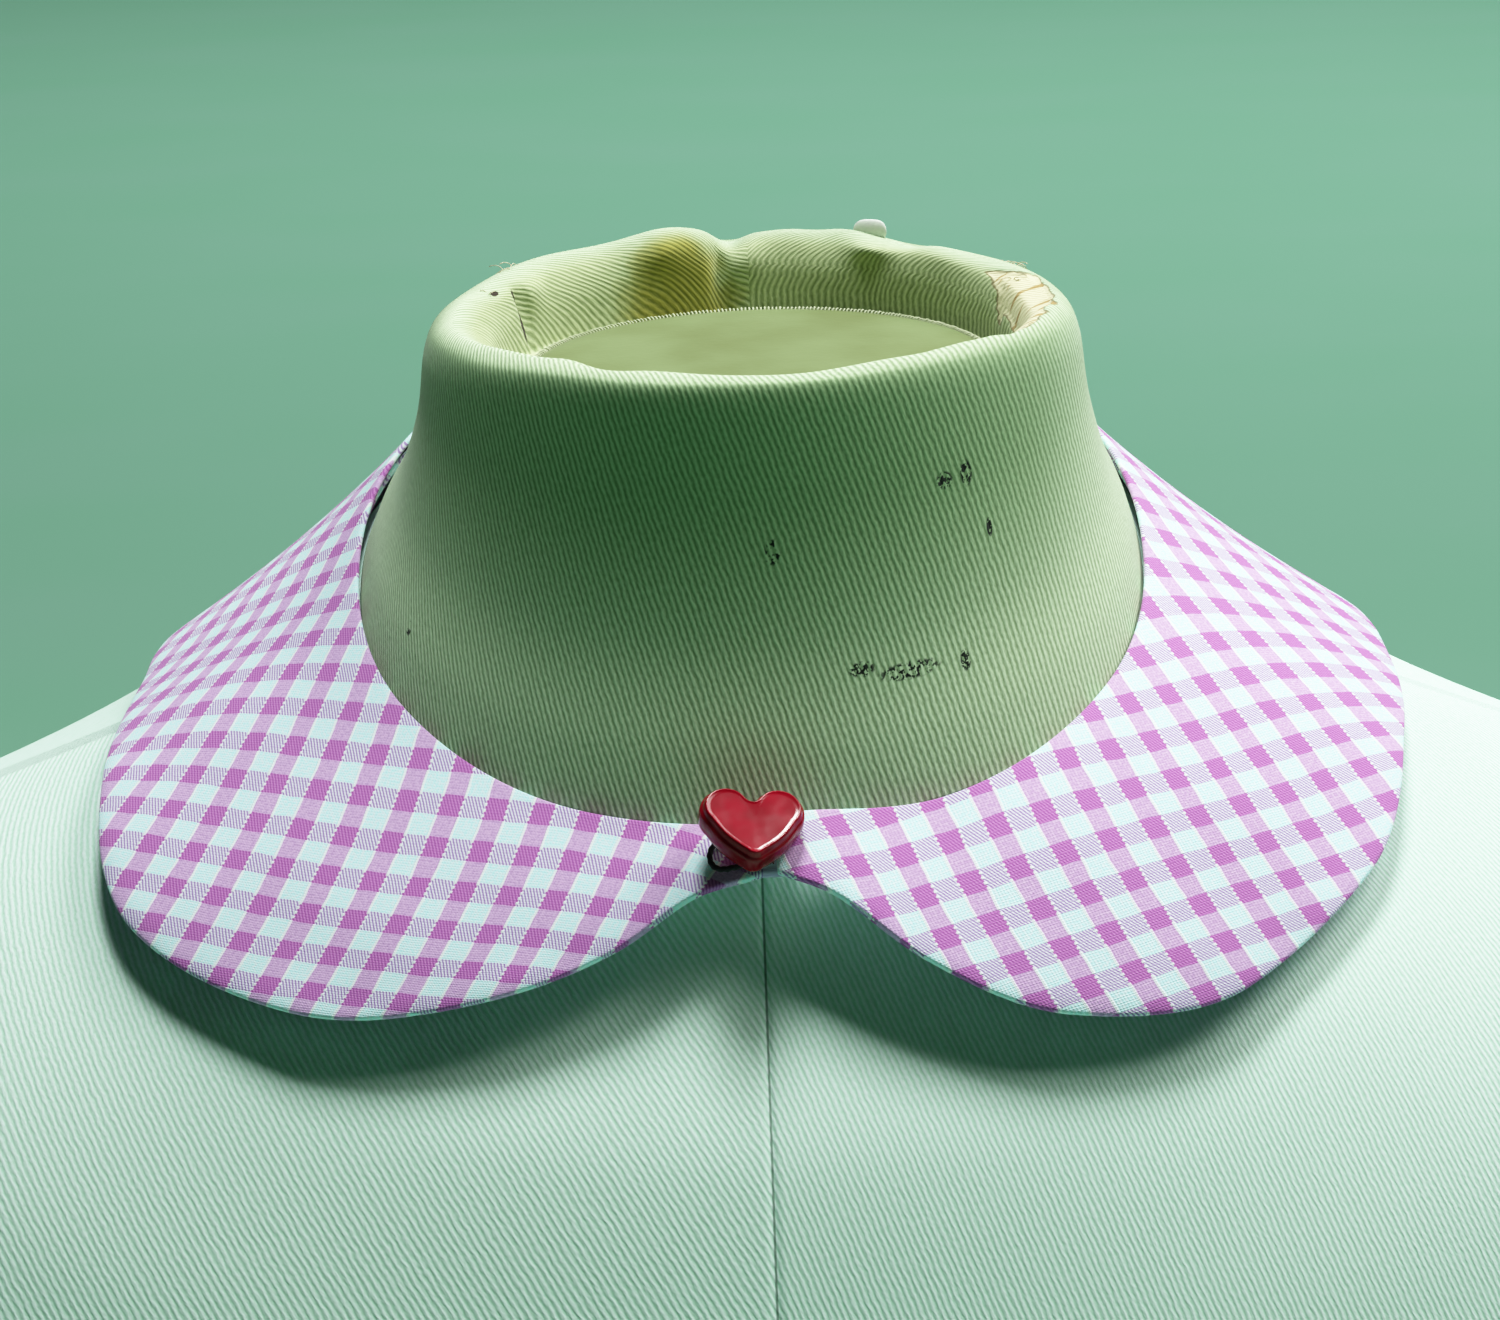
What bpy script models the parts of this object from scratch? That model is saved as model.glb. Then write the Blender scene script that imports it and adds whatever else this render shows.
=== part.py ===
"""Gingham Peter Pan collar with a heart button, laid round the neck of a tabletop dress form.

Millimetres in the tables, metres in the meshes. +Z is up, -Y is the front of the form, and the
origin is the middle of the form's flat base. Heights in the tables are measured from the side
neck point, where the neck meets the shoulder ridge.
"""
import math

import bmesh
import bpy
from mathutils import Matrix, Vector

MM = 0.001
SIDE_NECK_HEIGHT = 545.0
SEAM_GAP = 0.3

# Collar neck edge: a tilted superellipse, 394 mm round
NECK_EDGE_HALF_WIDTH = 62.0
NECK_EDGE_HALF_DEPTH = 54.0
NECK_EDGE_SQUARENESS = 2.2
NECK_TILT = math.radians(28.0)
NECK_EDGE_SAMPLES = 1440

# Collar cloth: two plies, each a cotton layer with its pressed seam allowance
PLY = 1.0
PLY_OFFSET = (PLY + SEAM_GAP) / 2
LEFT_END_PAST_CENTRE = 5.0
RIGHT_END_SHORT_OF_CENTRE = 2.3
RIGHT_END_LIFT = 2.7
RIGHT_LIFT_FROM = 6.0
RIGHT_LIFT_TO = 28.0
COLLAR_STEPS_ROUND = 90
COLLAR_STEPS_DEEP = 6
COLLAR_END_CROWDING = 0.6
FALL_STEPS = 10

# Half the neck edge; a table row at BACK sits on the centre back
BACK = 197.0
# Columns: arc from centre front, depth of the collar, fall angle at the neck, fall angle at the edge
COLLAR_COLUMNS = ("arc", "depth", "fall_in", "fall_out")
LEFT_COLLAR = (
    (0, 8.4, 43, 46),
    (8, 12.0, 36, 44),
    (18, 22.2, 40, 52),
    (30, 34.0, 38, 54),
    (45, 46.6, 33.5, 49.5),
    (60, 51.4, 26, 42),
    (78, 43.2, 20, 34),
    (98, 36.8, 26, 35),
    (125, 40.5, 38, 52),
    (155, 45.0, 50, 63),
    (BACK, 46.0, 53, 67),
)
RIGHT_COLLAR = (
    (0, 8.4, 43, 46),
    (8, 13.0, 38, 47),
    (18, 25.0, 41, 53),
    (30, 39.0, 39, 55),
    (45, 47.6, 34, 50),
    (60, 47.3, 26, 42),
    (78, 42.0, 20, 34),
    (98, 40.5, 26, 35.5),
    (125, 43.0, 38, 52),
    (155, 45.0, 50, 63),
    (BACK, 46.0, 53, 67),
)

# Dress form, one row for each level. bow is how fast a ring dips from its side to its front and back.
RING_COLUMNS = ("half_width", "front", "back", "side_z", "front_z", "back_z", "square", "bow", "lean")


def tilted_ring(half_width, front, back, side_z, slope, square, lean):
    """A table row whose ring lies in one plane, higher at the back."""
    return (half_width, front, back, side_z, side_z - slope * front, side_z + slope * back, square, 1.0, lean)


NECK_SEAM_Z = -1.2
NECK_SLOPE = math.tan(NECK_TILT)
SEAM_DROP = SEAM_GAP / math.cos(NECK_TILT)
RECESS_SLOPE = 0.105
NECK_OUTSIDE = (
    tilted_ring(60.6, 52.6, 52.6, NECK_SEAM_Z, NECK_SLOPE, 2.2, 0.0),
    (58.7, 51.5, 51.8, 5.0, -19.0, 29.5, 2.15, 1.0, 0.3),
    (54.6, 49.0, 49.9, 15.0, -2.0, 33.0, 2.1, 1.0, 0.8),
    (51.5, 46.5, 48.0, 27.0, 18.0, 38.0, 2.05, 1.0, 1.2),
    (50.4, 45.0, 47.0, 35.5, 32.0, 42.5, 2.0, 1.0, 1.3),
)
NECK_RIM = (
    (49.0, 43.4, 45.6, 38.8, 36.0, 45.2, 2.0, 1.0, 1.3),
    (46.0, 40.2, 42.6, 40.0, 37.6, 46.2, 2.0, 1.0, 1.3),
    (42.8, 37.2, 39.6, 38.6, 36.2, 45.0, 2.0, 1.0, 1.3),
    (41.0, 35.4, 37.8, 35.0, 32.4, 41.4, 2.0, 1.0, 1.3),
    tilted_ring(40.0, 34.6, 37.0, 29.6, RECESS_SLOPE, 2.0, 1.3),
)
TORSO = (
    tilted_ring(60.6, 52.6, 52.6, NECK_SEAM_Z - SEAM_DROP, NECK_SLOPE, 2.2, 0.0),
    (70.0, 58.0, 59.0, -8.0, -42.0, 15.0, 2.2, 1.1, 0.0),
    (95.0, 68.0, 73.0, -19.5, -61.0, -9.0, 2.2, 1.3, 0.0),
    (126.0, 79.0, 85.0, -31.0, -82.0, -42.0, 2.25, 1.6, 0.0),
    (158.0, 91.0, 93.0, -43.0, -112.0, -82.0, 2.35, 1.9, 0.0),
    (176.0, 100.0, 97.0, -56.0, -138.0, -112.0, 2.5, 2.0, 0.0),
    (182.0, 106.0, 99.0, -82.0, -160.0, -138.0, 2.6, 2.0, 0.0),
    (178.0, 113.0, 99.0, -122.0, -178.0, -164.0, 2.6, 2.0, 0.0),
    (161.0, 119.0, 96.0, -182.0, -207.0, -200.0, 2.5, 2.0, 0.0),
    (146.0, 117.0, 91.0, -235.0, -243.0, -240.0, 2.4, 2.0, 0.0),
    (131.0, 103.0, 85.0, -290.0, -290.0, -290.0, 2.3, 1.0, 0.0),
    (120.5, 91.5, 82.0, -345.0, -345.0, -345.0, 2.25, 1.0, 0.0),
    (125.0, 92.5, 89.0, -385.0, -385.0, -385.0, 2.25, 1.0, 0.0),
    (145.0, 100.0, 105.0, -440.0, -440.0, -440.0, 2.25, 1.0, 0.0),
    (162.0, 107.0, 117.0, -500.0, -500.0, -500.0, 2.25, 1.0, 0.0),
    (166.0, 108.0, 119.0, -535.0, -535.0, -535.0, 2.25, 1.0, 0.0),
    (163.0, 105.0, 116.0, -545.0, -545.0, -545.0, 2.25, 1.0, 0.0),
)
FORM_STEPS_ROUND = 48
TORSO_ROWS_PER_RING = 2
NECK_ROWS_PER_RING = 2

# Padded disc that closes the neck's recess
CAP_HALF_WIDTH = 37.6
CAP_FRONT = 32.4
CAP_BACK = 34.6
CAP_EDGE = 1.6
CAP_DOME = 1.6
CAP_DOME_STEPS = 4
CAP_CROWN_SHARE = 0.2

# Heart button, its shank and the cord loop that holds it
HEART_LOBE_CENTRE = 3.5
HEART_LOBE_RADIUS = 4.25
HEART_HEIGHT = 12.9
HEART_TIP_RADIUS = 1.3
HEART_NOTCH_ROUNDING = 0.1
HEART_LOBE_STEPS = 14
HEART_TIP_STEPS = 4
HEART_THICKNESS = 3.8
HEART_BEVEL = 0.7
HEART_ELEVATION = math.radians(50.0)
HEART_YAW = math.radians(13.0)
HEART_TURN = math.radians(-9.0)
HEART_BACK_HEIGHT = 6.0
BUTTON_ARC = -1.8
BUTTON_SHARE = 0.56
SHANK_RADIUS = 1.2
SHANK_SUNK_IN_BUTTON = 1.2
LOOP_RADIUS = 0.45
LOOP_CLEARANCE = 0.45
LOOP_START_ARC = 1.7
LOOP_BEND_ARC = -5.0
LOOP_SHARES = (0.31, 0.81)
LOOP_POINTS = 8
LOOP_END_RISE = 0.5


def monotone(rows, column, at):
    """Value of one column at a place along a table, by a cubic that never overshoots its rows."""
    places = [row[0] for row in rows]
    values = [row[column] for row in rows]
    spans = [b - a for a, b in zip(places, places[1:])]
    slopes = [(values[i + 1] - values[i]) / spans[i] for i in range(len(spans))]
    tangents = [slopes[0]]
    for before, after in zip(slopes, slopes[1:]):
        tangents.append(0.0 if before * after <= 0 else 2 * before * after / (before + after))
    tangents.append(slopes[-1])
    at = min(max(at, places[0]), places[-1])
    i = max(k for k in range(len(spans)) if places[k] <= at)
    t = (at - places[i]) / spans[i]
    rise = (2 * t**3 - 3 * t**2 + 1) * values[i] + (3 * t**2 - 2 * t**3) * values[i + 1]
    return rise + spans[i] * ((t**3 - 2 * t**2 + t) * tangents[i] + (t**3 - t**2) * tangents[i + 1])


def smoothstep(low, high, at):
    t = min(max((at - low) / (high - low), 0.0), 1.0)
    return t * t * (3 - 2 * t)


def power(value, squareness):
    return math.copysign(abs(value) ** (2 / squareness), value)


def neck_edge_points():
    """The neck edge from centre front towards +X and once round, with the arc length at each point."""
    points, arcs = [], [0.0]
    for k in range(NECK_EDGE_SAMPLES + 1):
        turn = 2 * math.pi * k / NECK_EDGE_SAMPLES
        x = NECK_EDGE_HALF_WIDTH * power(math.sin(turn), NECK_EDGE_SQUARENESS)
        y = -NECK_EDGE_HALF_DEPTH * power(math.cos(turn), NECK_EDGE_SQUARENESS)
        points.append(Vector((x, y, y * math.tan(NECK_TILT))))
        if k:
            arcs.append(arcs[-1] + (points[k] - points[k - 1]).length)
    return points, arcs


NECK_POINTS, NECK_ARCS = neck_edge_points()
NECK_EDGE_LENGTH = NECK_ARCS[-1]


def on_neck_edge(arc):
    """Point and direction on the neck edge at an arc from centre front, positive towards +X."""
    arc = arc % NECK_EDGE_LENGTH
    low, high = 0, len(NECK_ARCS) - 1
    while high - low > 1:
        middle = (low + high) // 2
        if NECK_ARCS[middle] <= arc:
            low = middle
        else:
            high = middle
    part = (arc - NECK_ARCS[low]) / (NECK_ARCS[high] - NECK_ARCS[low])
    before = NECK_POINTS[low - 2] if low > 1 else NECK_POINTS[-3]
    after = NECK_POINTS[(high + 1) % NECK_EDGE_SAMPLES]
    return NECK_POINTS[low].lerp(NECK_POINTS[high], part), (after - before).normalized()


def collar_point(arc, share):
    """Middle of the cloth at an arc and a share of the depth.

    The arc falls from the left end, just past centre front, round the back to the right end.
    """
    on_left = arc > -NECK_EDGE_LENGTH / 2
    from_centre = -arc if on_left else arc + NECK_EDGE_LENGTH
    table = LEFT_COLLAR if on_left else RIGHT_COLLAR
    depth, fall_in, fall_out = (
        monotone(table, COLLAR_COLUMNS.index(name), from_centre) for name in ("depth", "fall_in", "fall_out"))
    point, along = on_neck_edge(arc)
    outward = Vector((along.y, -along.x, 0)).normalized()
    reach = drop = 0.0
    for k in range(FALL_STEPS):
        part = share * (k + 0.5) / FALL_STEPS
        fall = math.radians(fall_in + (fall_out - fall_in) * part)
        reach += math.cos(fall) * share * depth / FALL_STEPS
        drop += math.sin(fall) * share * depth / FALL_STEPS
    way = outward * reach - Vector((0, 0, drop))
    square = way - along * way.dot(along)
    if square.length > 1e-9:
        square *= way.length / square.length
    return point + square


def collar_surface(arc, share, above):
    """A place a given height above the middle of the cloth, square to it."""
    step_arc, step_share = 0.5, 0.02
    low, high = max(share - step_share, 0.0), min(share + step_share, 1.0)
    round_way = collar_point(arc + step_arc, share) - collar_point(arc - step_arc, share)
    deep_way = collar_point(arc, high) - collar_point(arc, low)
    normal = deep_way.cross(round_way).normalized()
    return collar_point(arc, share) + normal * above, normal


def right_end_lift(arc_to_end):
    """The right end lies over the left one, so it rises towards centre front."""
    return RIGHT_END_LIFT * (1 - smoothstep(RIGHT_LIFT_FROM, RIGHT_LIFT_TO, arc_to_end))


def to_world(point):
    return (point + Vector((0, 0, SIDE_NECK_HEIGHT))) * MM


def material(name, colour, roughness, metallic=0.0):
    made = bpy.data.materials.new(name)
    made.use_nodes = True
    shader = made.node_tree.nodes["Principled BSDF"]
    shader.inputs["Base Color"].default_value = (*colour, 1.0)
    shader.inputs["Roughness"].default_value = roughness
    shader.inputs["Metallic"].default_value = metallic
    made.diffuse_color = (*colour, 1.0)
    return made


def add_mesh(name, collection, finish, vertices, faces):
    mesh = bpy.data.meshes.new(name)
    mesh.from_pydata([tuple(to_world(v)) for v in vertices], [], faces)
    mesh.materials.append(finish)
    mesh.shade_smooth()
    made = bpy.data.objects.new(name, mesh)
    collection.objects.link(made)
    return made


def collar_ply(name, collection, finish, height):
    """One ply: an open sheet from the left end round the back to the right end, given its thickness."""
    start = LEFT_END_PAST_CENTRE
    span = RIGHT_END_SHORT_OF_CENTRE - NECK_EDGE_LENGTH - start
    vertices = []
    for i in range(COLLAR_STEPS_ROUND + 1):
        part = i / COLLAR_STEPS_ROUND
        crowded = part - COLLAR_END_CROWDING * math.sin(2 * math.pi * part) / (2 * math.pi)
        arc = start + span * crowded
        lift = right_end_lift(arc + NECK_EDGE_LENGTH)
        for j in range(COLLAR_STEPS_DEEP + 1):
            vertices.append(collar_surface(arc, j / COLLAR_STEPS_DEEP, height + lift)[0])
    row = COLLAR_STEPS_DEEP + 1
    faces = []
    for i in range(COLLAR_STEPS_ROUND):
        for j in range(COLLAR_STEPS_DEEP):
            a = i * row + j
            faces.append((a, a + 1, a + row + 1, a + row))
    ply = add_mesh(name, collection, finish, vertices, faces)
    wall = ply.modifiers.new("cloth wall", "SOLIDIFY")
    wall.thickness = PLY * MM
    wall.offset = 0.0
    wall.use_even_offset = True
    return ply


def ring(row):
    """One level of the form: a superellipse whose height runs from its sides to its front and back."""
    half_width, front, back, side_z, front_z, back_z, square, bow, lean = row
    points = []
    for k in range(FORM_STEPS_ROUND):
        turn = 2 * math.pi * k / FORM_STEPS_ROUND
        deep = -power(math.cos(turn), square)
        reach, end_z = (front, front_z) if deep < 0 else (back, back_z)
        z = side_z + (end_z - side_z) * abs(deep) ** bow
        points.append(Vector((lean + half_width * power(math.sin(turn), square), reach * deep, z)))
    return points


def rings_between(table, per_ring):
    """Every table row, with rows between them read from a smooth curve through the column."""
    numbered = [(k, *row) for k, row in enumerate(table)]
    count = (len(table) - 1) * per_ring
    columns = range(1, len(RING_COLUMNS) + 1)
    return [[monotone(numbered, c, k / per_ring) for c in columns] for k in range(count + 1)]


def lofted(name, collection, finish, rings):
    """A closed body through rings of equal count, with a flat face on its first and last ring."""
    vertices = [point for one in rings for point in one]
    n = FORM_STEPS_ROUND
    faces = [tuple(range(n)), tuple((len(rings) - 1) * n + k for k in reversed(range(n)))]
    for level in range(len(rings) - 1):
        for k in range(n):
            a, b = level * n + k, level * n + (k + 1) % n
            faces.append((a, a + n, b + n, b))
    body = add_mesh(name, collection, finish, vertices, faces)
    shell = bmesh.new()
    shell.from_mesh(body.data)
    bmesh.ops.recalc_face_normals(shell, faces=shell.faces)
    shell.to_mesh(body.data)
    shell.free()
    body.data.set_sharp_from_angle(angle=math.radians(50))
    return body


def neck_cap(collection, finish):
    """A disc, domed on top, that lies in the recess parallel to its floor."""
    floor = NECK_RIM[-1]
    floor_z, lean = floor[3], floor[8]

    def level(share, lift):
        return ring(tilted_ring(CAP_HALF_WIDTH * share, CAP_FRONT * share, CAP_BACK * share,
                                floor_z + lift, RECESS_SLOPE, 2.0, lean))

    rings = [level(1.0, SEAM_GAP)]
    for k in range(CAP_DOME_STEPS + 1):
        angle = 0.5 * math.pi * k / CAP_DOME_STEPS
        share = max(math.cos(angle), CAP_CROWN_SHARE)
        rings.append(level(share, SEAM_GAP + CAP_EDGE + CAP_DOME * math.sin(angle)))
    return lofted("neck_cap", collection, finish, rings)


def heart_outline():
    """Two round lobes and a rounded tip joined by straight sides, clockwise from the notch."""
    lobe_height = HEART_HEIGHT / 2 - HEART_LOBE_RADIUS
    tip_height = -HEART_HEIGHT / 2 + HEART_TIP_RADIUS
    run = math.hypot(HEART_LOBE_CENTRE, lobe_height - tip_height)
    climb = math.atan2(lobe_height - tip_height, HEART_LOBE_CENTRE)
    notch = math.acos(-HEART_LOBE_CENTRE / HEART_LOBE_RADIUS)
    lower = climb - math.acos((HEART_TIP_RADIUS - HEART_LOBE_RADIUS) / run)
    right = []
    for k in range(HEART_LOBE_STEPS):
        angle = notch + (lower - notch) * (k + 0.5) / (HEART_LOBE_STEPS - 0.5)
        right.append((HEART_LOBE_CENTRE + HEART_LOBE_RADIUS * math.cos(angle),
                      lobe_height + HEART_LOBE_RADIUS * math.sin(angle)))
    for k in range(HEART_TIP_STEPS):
        angle = lower + (-math.pi / 2 - lower) * k / HEART_TIP_STEPS
        right.append((HEART_TIP_RADIUS * math.cos(angle), tip_height + HEART_TIP_RADIUS * math.sin(angle)))
    left = [(-x, y) for x, y in reversed(right)]
    notch_height = lobe_height + HEART_LOBE_RADIUS * math.sin(notch)
    return [(0.0, notch_height + HEART_NOTCH_ROUNDING)] + right + [(0.0, -HEART_HEIGHT / 2)] + left


def button_frame():
    """Where the middle of the button's back sits, its right and top, and the way it faces."""
    seat = collar_surface(BUTTON_ARC, BUTTON_SHARE, HEART_BACK_HEIGHT)[0]
    face = Vector((math.sin(HEART_YAW) * math.cos(HEART_ELEVATION),
                   -math.cos(HEART_YAW) * math.cos(HEART_ELEVATION), math.sin(HEART_ELEVATION)))
    top = (Vector((0, 0, 1)) - face * face.z).normalized()
    right = top.cross(face)
    turned_right = right * math.cos(HEART_TURN) + top * math.sin(HEART_TURN)
    turned_top = top * math.cos(HEART_TURN) - right * math.sin(HEART_TURN)
    return seat, turned_right, turned_top, face


def heart_button(collection, finish):
    seat, right, top, face = button_frame()
    shell = bmesh.new()
    back = [shell.verts.new(to_world(seat + right * x + top * y)) for x, y in heart_outline()]
    lid = shell.faces.new(back)
    side = HEART_THICKNESS - HEART_BEVEL
    raised = bmesh.ops.extrude_face_region(shell, geom=[lid])
    moved = [g for g in raised["geom"] if isinstance(g, bmesh.types.BMVert)]
    bmesh.ops.translate(shell, verts=moved, vec=face * side * MM)
    front = next(g for g in raised["geom"] if isinstance(g, bmesh.types.BMFace))
    bmesh.ops.inset_region(shell, faces=[front], thickness=HEART_BEVEL * MM, use_even_offset=True)
    bmesh.ops.translate(shell, verts=front.verts, vec=face * HEART_BEVEL * MM)
    bmesh.ops.recalc_face_normals(shell, faces=shell.faces)
    mesh = bpy.data.meshes.new("heart_button")
    shell.to_mesh(mesh)
    shell.free()
    mesh.materials.append(finish)
    button = bpy.data.objects.new("heart_button", mesh)
    collection.objects.link(button)
    return button


def button_shank(cutters, button):
    """The post under the button, joined to it."""
    foot_height = PLY_OFFSET + PLY / 2 + SEAM_GAP
    foot, up = collar_surface(BUTTON_ARC, BUTTON_SHARE, foot_height)
    length = HEART_BACK_HEIGHT - foot_height + SHANK_SUNK_IN_BUTTON
    bpy.ops.mesh.primitive_cylinder_add(vertices=16, radius=SHANK_RADIUS * MM, depth=length * MM)
    post = bpy.context.object
    post.name = "shank_tool"
    turn = up.to_track_quat("Z", "Y").to_matrix().to_4x4()
    post.matrix_world = Matrix.Translation(to_world(foot + up * length / 2)) @ turn
    for owner in list(post.users_collection):
        owner.objects.unlink(post)
    cutters.objects.link(post)
    post.hide_render = True
    post.display_type = "WIRE"
    join = button.modifiers.new("shank", "BOOLEAN")
    join.operation = "UNION"
    join.object = post


def button_loop(collection, finish):
    """A cord sewn to the right end that passes round the shank and shows beyond the button."""
    near, far = LOOP_SHARES
    low = PLY_OFFSET + PLY / 2 + LOOP_CLEARANCE + LOOP_RADIUS
    half = (far - near) / 2
    places = []
    for k in range(LOOP_POINTS + 1):
        places.append((LOOP_START_ARC + (LOOP_BEND_ARC - LOOP_START_ARC) * k / LOOP_POINTS, near))
    bend = half * LEFT_COLLAR[0][COLLAR_COLUMNS.index("depth")]
    for k in range(1, LOOP_POINTS):
        angle = math.pi * k / LOOP_POINTS
        places.append((LOOP_BEND_ARC - bend * math.sin(angle), (near + far) / 2 - half * math.cos(angle)))
    places += [(arc, far) for arc, share in reversed(places[:LOOP_POINTS + 1])]
    path = bpy.data.curves.new("button_loop", "CURVE")
    path.dimensions = "3D"
    path.bevel_depth = LOOP_RADIUS * MM
    path.bevel_resolution = 2
    path.use_fill_caps = True
    line = path.splines.new("POLY")
    line.points.add(len(places) - 1)
    for point, (arc, share) in zip(line.points, places):
        rise = LOOP_END_RISE * smoothstep(0.0, LOOP_START_ARC, arc)
        point.co = (*to_world(collar_surface(arc, share, low + rise)[0]), 1.0)
    path.materials.append(finish)
    loop = bpy.data.objects.new("button_loop", path)
    collection.objects.link(loop)
    return loop


def build():
    for old in list(bpy.data.objects):
        bpy.data.objects.remove(old, do_unlink=True)
    scene = bpy.context.scene
    parts = bpy.data.collections.new("collar_on_dress_form")
    cutters = bpy.data.collections.new("cutters")
    scene.collection.children.link(parts)
    scene.collection.children.link(cutters)

    gingham = material("gingham_cotton", (0.62, 0.36, 0.56), 0.85)
    canvas = material("twill_canvas", (0.63, 0.64, 0.52), 0.9)
    cap_cloth = material("cap_cloth", (0.70, 0.70, 0.50), 0.9)
    red = material("red_plastic", (0.42, 0.01, 0.02), 0.18)
    cord = material("dark_cord", (0.015, 0.012, 0.02), 0.8)

    lofted("form_torso", parts, canvas, [ring(row) for row in rings_between(TORSO, TORSO_ROWS_PER_RING)])
    neck_rows = rings_between(NECK_OUTSIDE, NECK_ROWS_PER_RING) + [list(row) for row in NECK_RIM]
    lofted("form_neck", parts, canvas, [ring(row) for row in neck_rows])
    neck_cap(parts, cap_cloth)
    collar_ply("upper_collar", parts, gingham, PLY_OFFSET)
    collar_ply("under_collar", parts, gingham, -PLY_OFFSET)
    button = heart_button(parts, red)
    button_shank(cutters, button)
    button_loop(parts, cord)


build()
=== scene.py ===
"""Gingham Peter Pan collar with a heart button, laid round the neck of a tabletop dress form.

Tables are in millimetres, with heights from the side neck point, and meshes are in metres. +Z is up,
-Y is the front of the form and the origin is the middle of its flat base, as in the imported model.
"""
import math
import random
from functools import lru_cache, partial

import bmesh
import bpy
from mathutils import Matrix, Vector, noise

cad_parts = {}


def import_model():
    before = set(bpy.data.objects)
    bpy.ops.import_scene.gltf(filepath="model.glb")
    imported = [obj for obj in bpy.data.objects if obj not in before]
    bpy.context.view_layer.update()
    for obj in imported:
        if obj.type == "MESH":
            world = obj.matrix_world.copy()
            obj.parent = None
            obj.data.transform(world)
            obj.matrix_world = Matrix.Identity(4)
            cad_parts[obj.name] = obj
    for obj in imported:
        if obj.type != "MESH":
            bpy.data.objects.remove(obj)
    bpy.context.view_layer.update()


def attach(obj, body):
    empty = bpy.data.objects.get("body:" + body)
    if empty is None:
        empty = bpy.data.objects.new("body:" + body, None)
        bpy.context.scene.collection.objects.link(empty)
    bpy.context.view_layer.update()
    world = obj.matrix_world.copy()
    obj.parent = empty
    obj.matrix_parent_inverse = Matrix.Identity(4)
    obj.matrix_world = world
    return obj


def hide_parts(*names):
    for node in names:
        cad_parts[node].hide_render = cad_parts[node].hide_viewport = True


MM = 0.001

# Colours in sRGB: the gingham's four kinds of cell and its cords, then each finish's light and dark, where
# each twill's dark is painted shade between its ribs
GINGHAM = {"white": ("#C8F6FC", "#DEF6FC"), "both": ("#A658A9", "#C783C7"), "warp": ("#C59ED2", "#DAB7E3"),
           "weft": ("#A284C1", "#E5E5F5"), "cord": "#F4FDFF"}
NECK_TWILL = ("#DAEFCB", "#96AE85", 0.08)
BODY_TWILL = ("#E8FCF7", "#BEE9D1", 0.09)
CAP_CLOTH = ("#738356", "#677445")
HEART_RED = ("#86081F", "#980E28")
FLOOR_PAINT = ("#B4F7D4", "#BEF7DD")

SIDE_NECK_HEIGHT = 545.0

# Scene light that prints as white, and the lights at which the tone curve is set
TONE_WHITE = 3.0
TONE_GAIN = 1.42
TONE_STEEPNESS = 1.3
TONE_TOP = 0.965
TONE_STEPS = (0.02, 0.05, 0.1, 0.2, 0.35, 0.55, 0.8, 1.1, 1.5, 2.1)

# Collar neck edge: a tilted superellipse
NECK_EDGE_HALF_WIDTH = 62.0
NECK_EDGE_HALF_DEPTH = 54.0
NECK_EDGE_SQUARENESS = 2.2
NECK_TILT = math.radians(28.0)
NECK_EDGE_SAMPLES = 2880

# Collar cloth: an upper and an under ply, sewn at the edges
PLY = 1.0
SEAM_GAP = 0.3
PLY_OFFSET = (PLY + SEAM_GAP) / 2
LEFT_END_PAST_CENTRE = 5.0
RIGHT_END_SHORT_OF_CENTRE = 2.3
RIGHT_END_LIFT = 2.7
RIGHT_LIFT_FROM = 6.0
RIGHT_LIFT_TO = 28.0
EDGE_ROUNDING = (0.0, 0.04, 0.12, 0.26, 0.5)
COLLAR_STEPS_ROUND = 400
COLLAR_STEPS_DEEP = 46
UNDER_EDGE_INSET = 0.35
UPPER_NECK_REACH = 1.5
FRONT_NECK_REACH = 0.1
SEAM_CLOSED_WITHIN = 2.5
SEAM_CLOSED_BY = 0.13

BACK = 197.0
# Columns: arc from centre front, depth of the collar, fall angle at the neck, fall angle at the edge
LEFT_COLLAR = (
    (0, 8.4, 43, 46),
    (8, 12.0, 36, 44),
    (18, 22.2, 40, 52),
    (30, 34.0, 38, 54),
    (45, 46.6, 33.5, 49.5),
    (60, 51.4, 26, 42),
    (78, 43.2, 20, 34),
    (98, 36.8, 26, 35),
    (125, 40.5, 38, 52),
    (155, 45.0, 50, 63),
    (BACK, 46.0, 53, 67),
)
RIGHT_COLLAR = (
    (0, 8.4, 43, 46),
    (8, 13.0, 38, 47),
    (18, 25.0, 41, 53),
    (30, 39.0, 39, 55),
    (45, 47.6, 34, 50),
    (60, 47.3, 26, 42),
    (78, 42.0, 20, 34),
    (98, 40.5, 26, 35.5),
    (125, 43.0, 38, 52),
    (155, 45.0, 50, 63),
    (BACK, 46.0, 53, 67),
)
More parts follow.
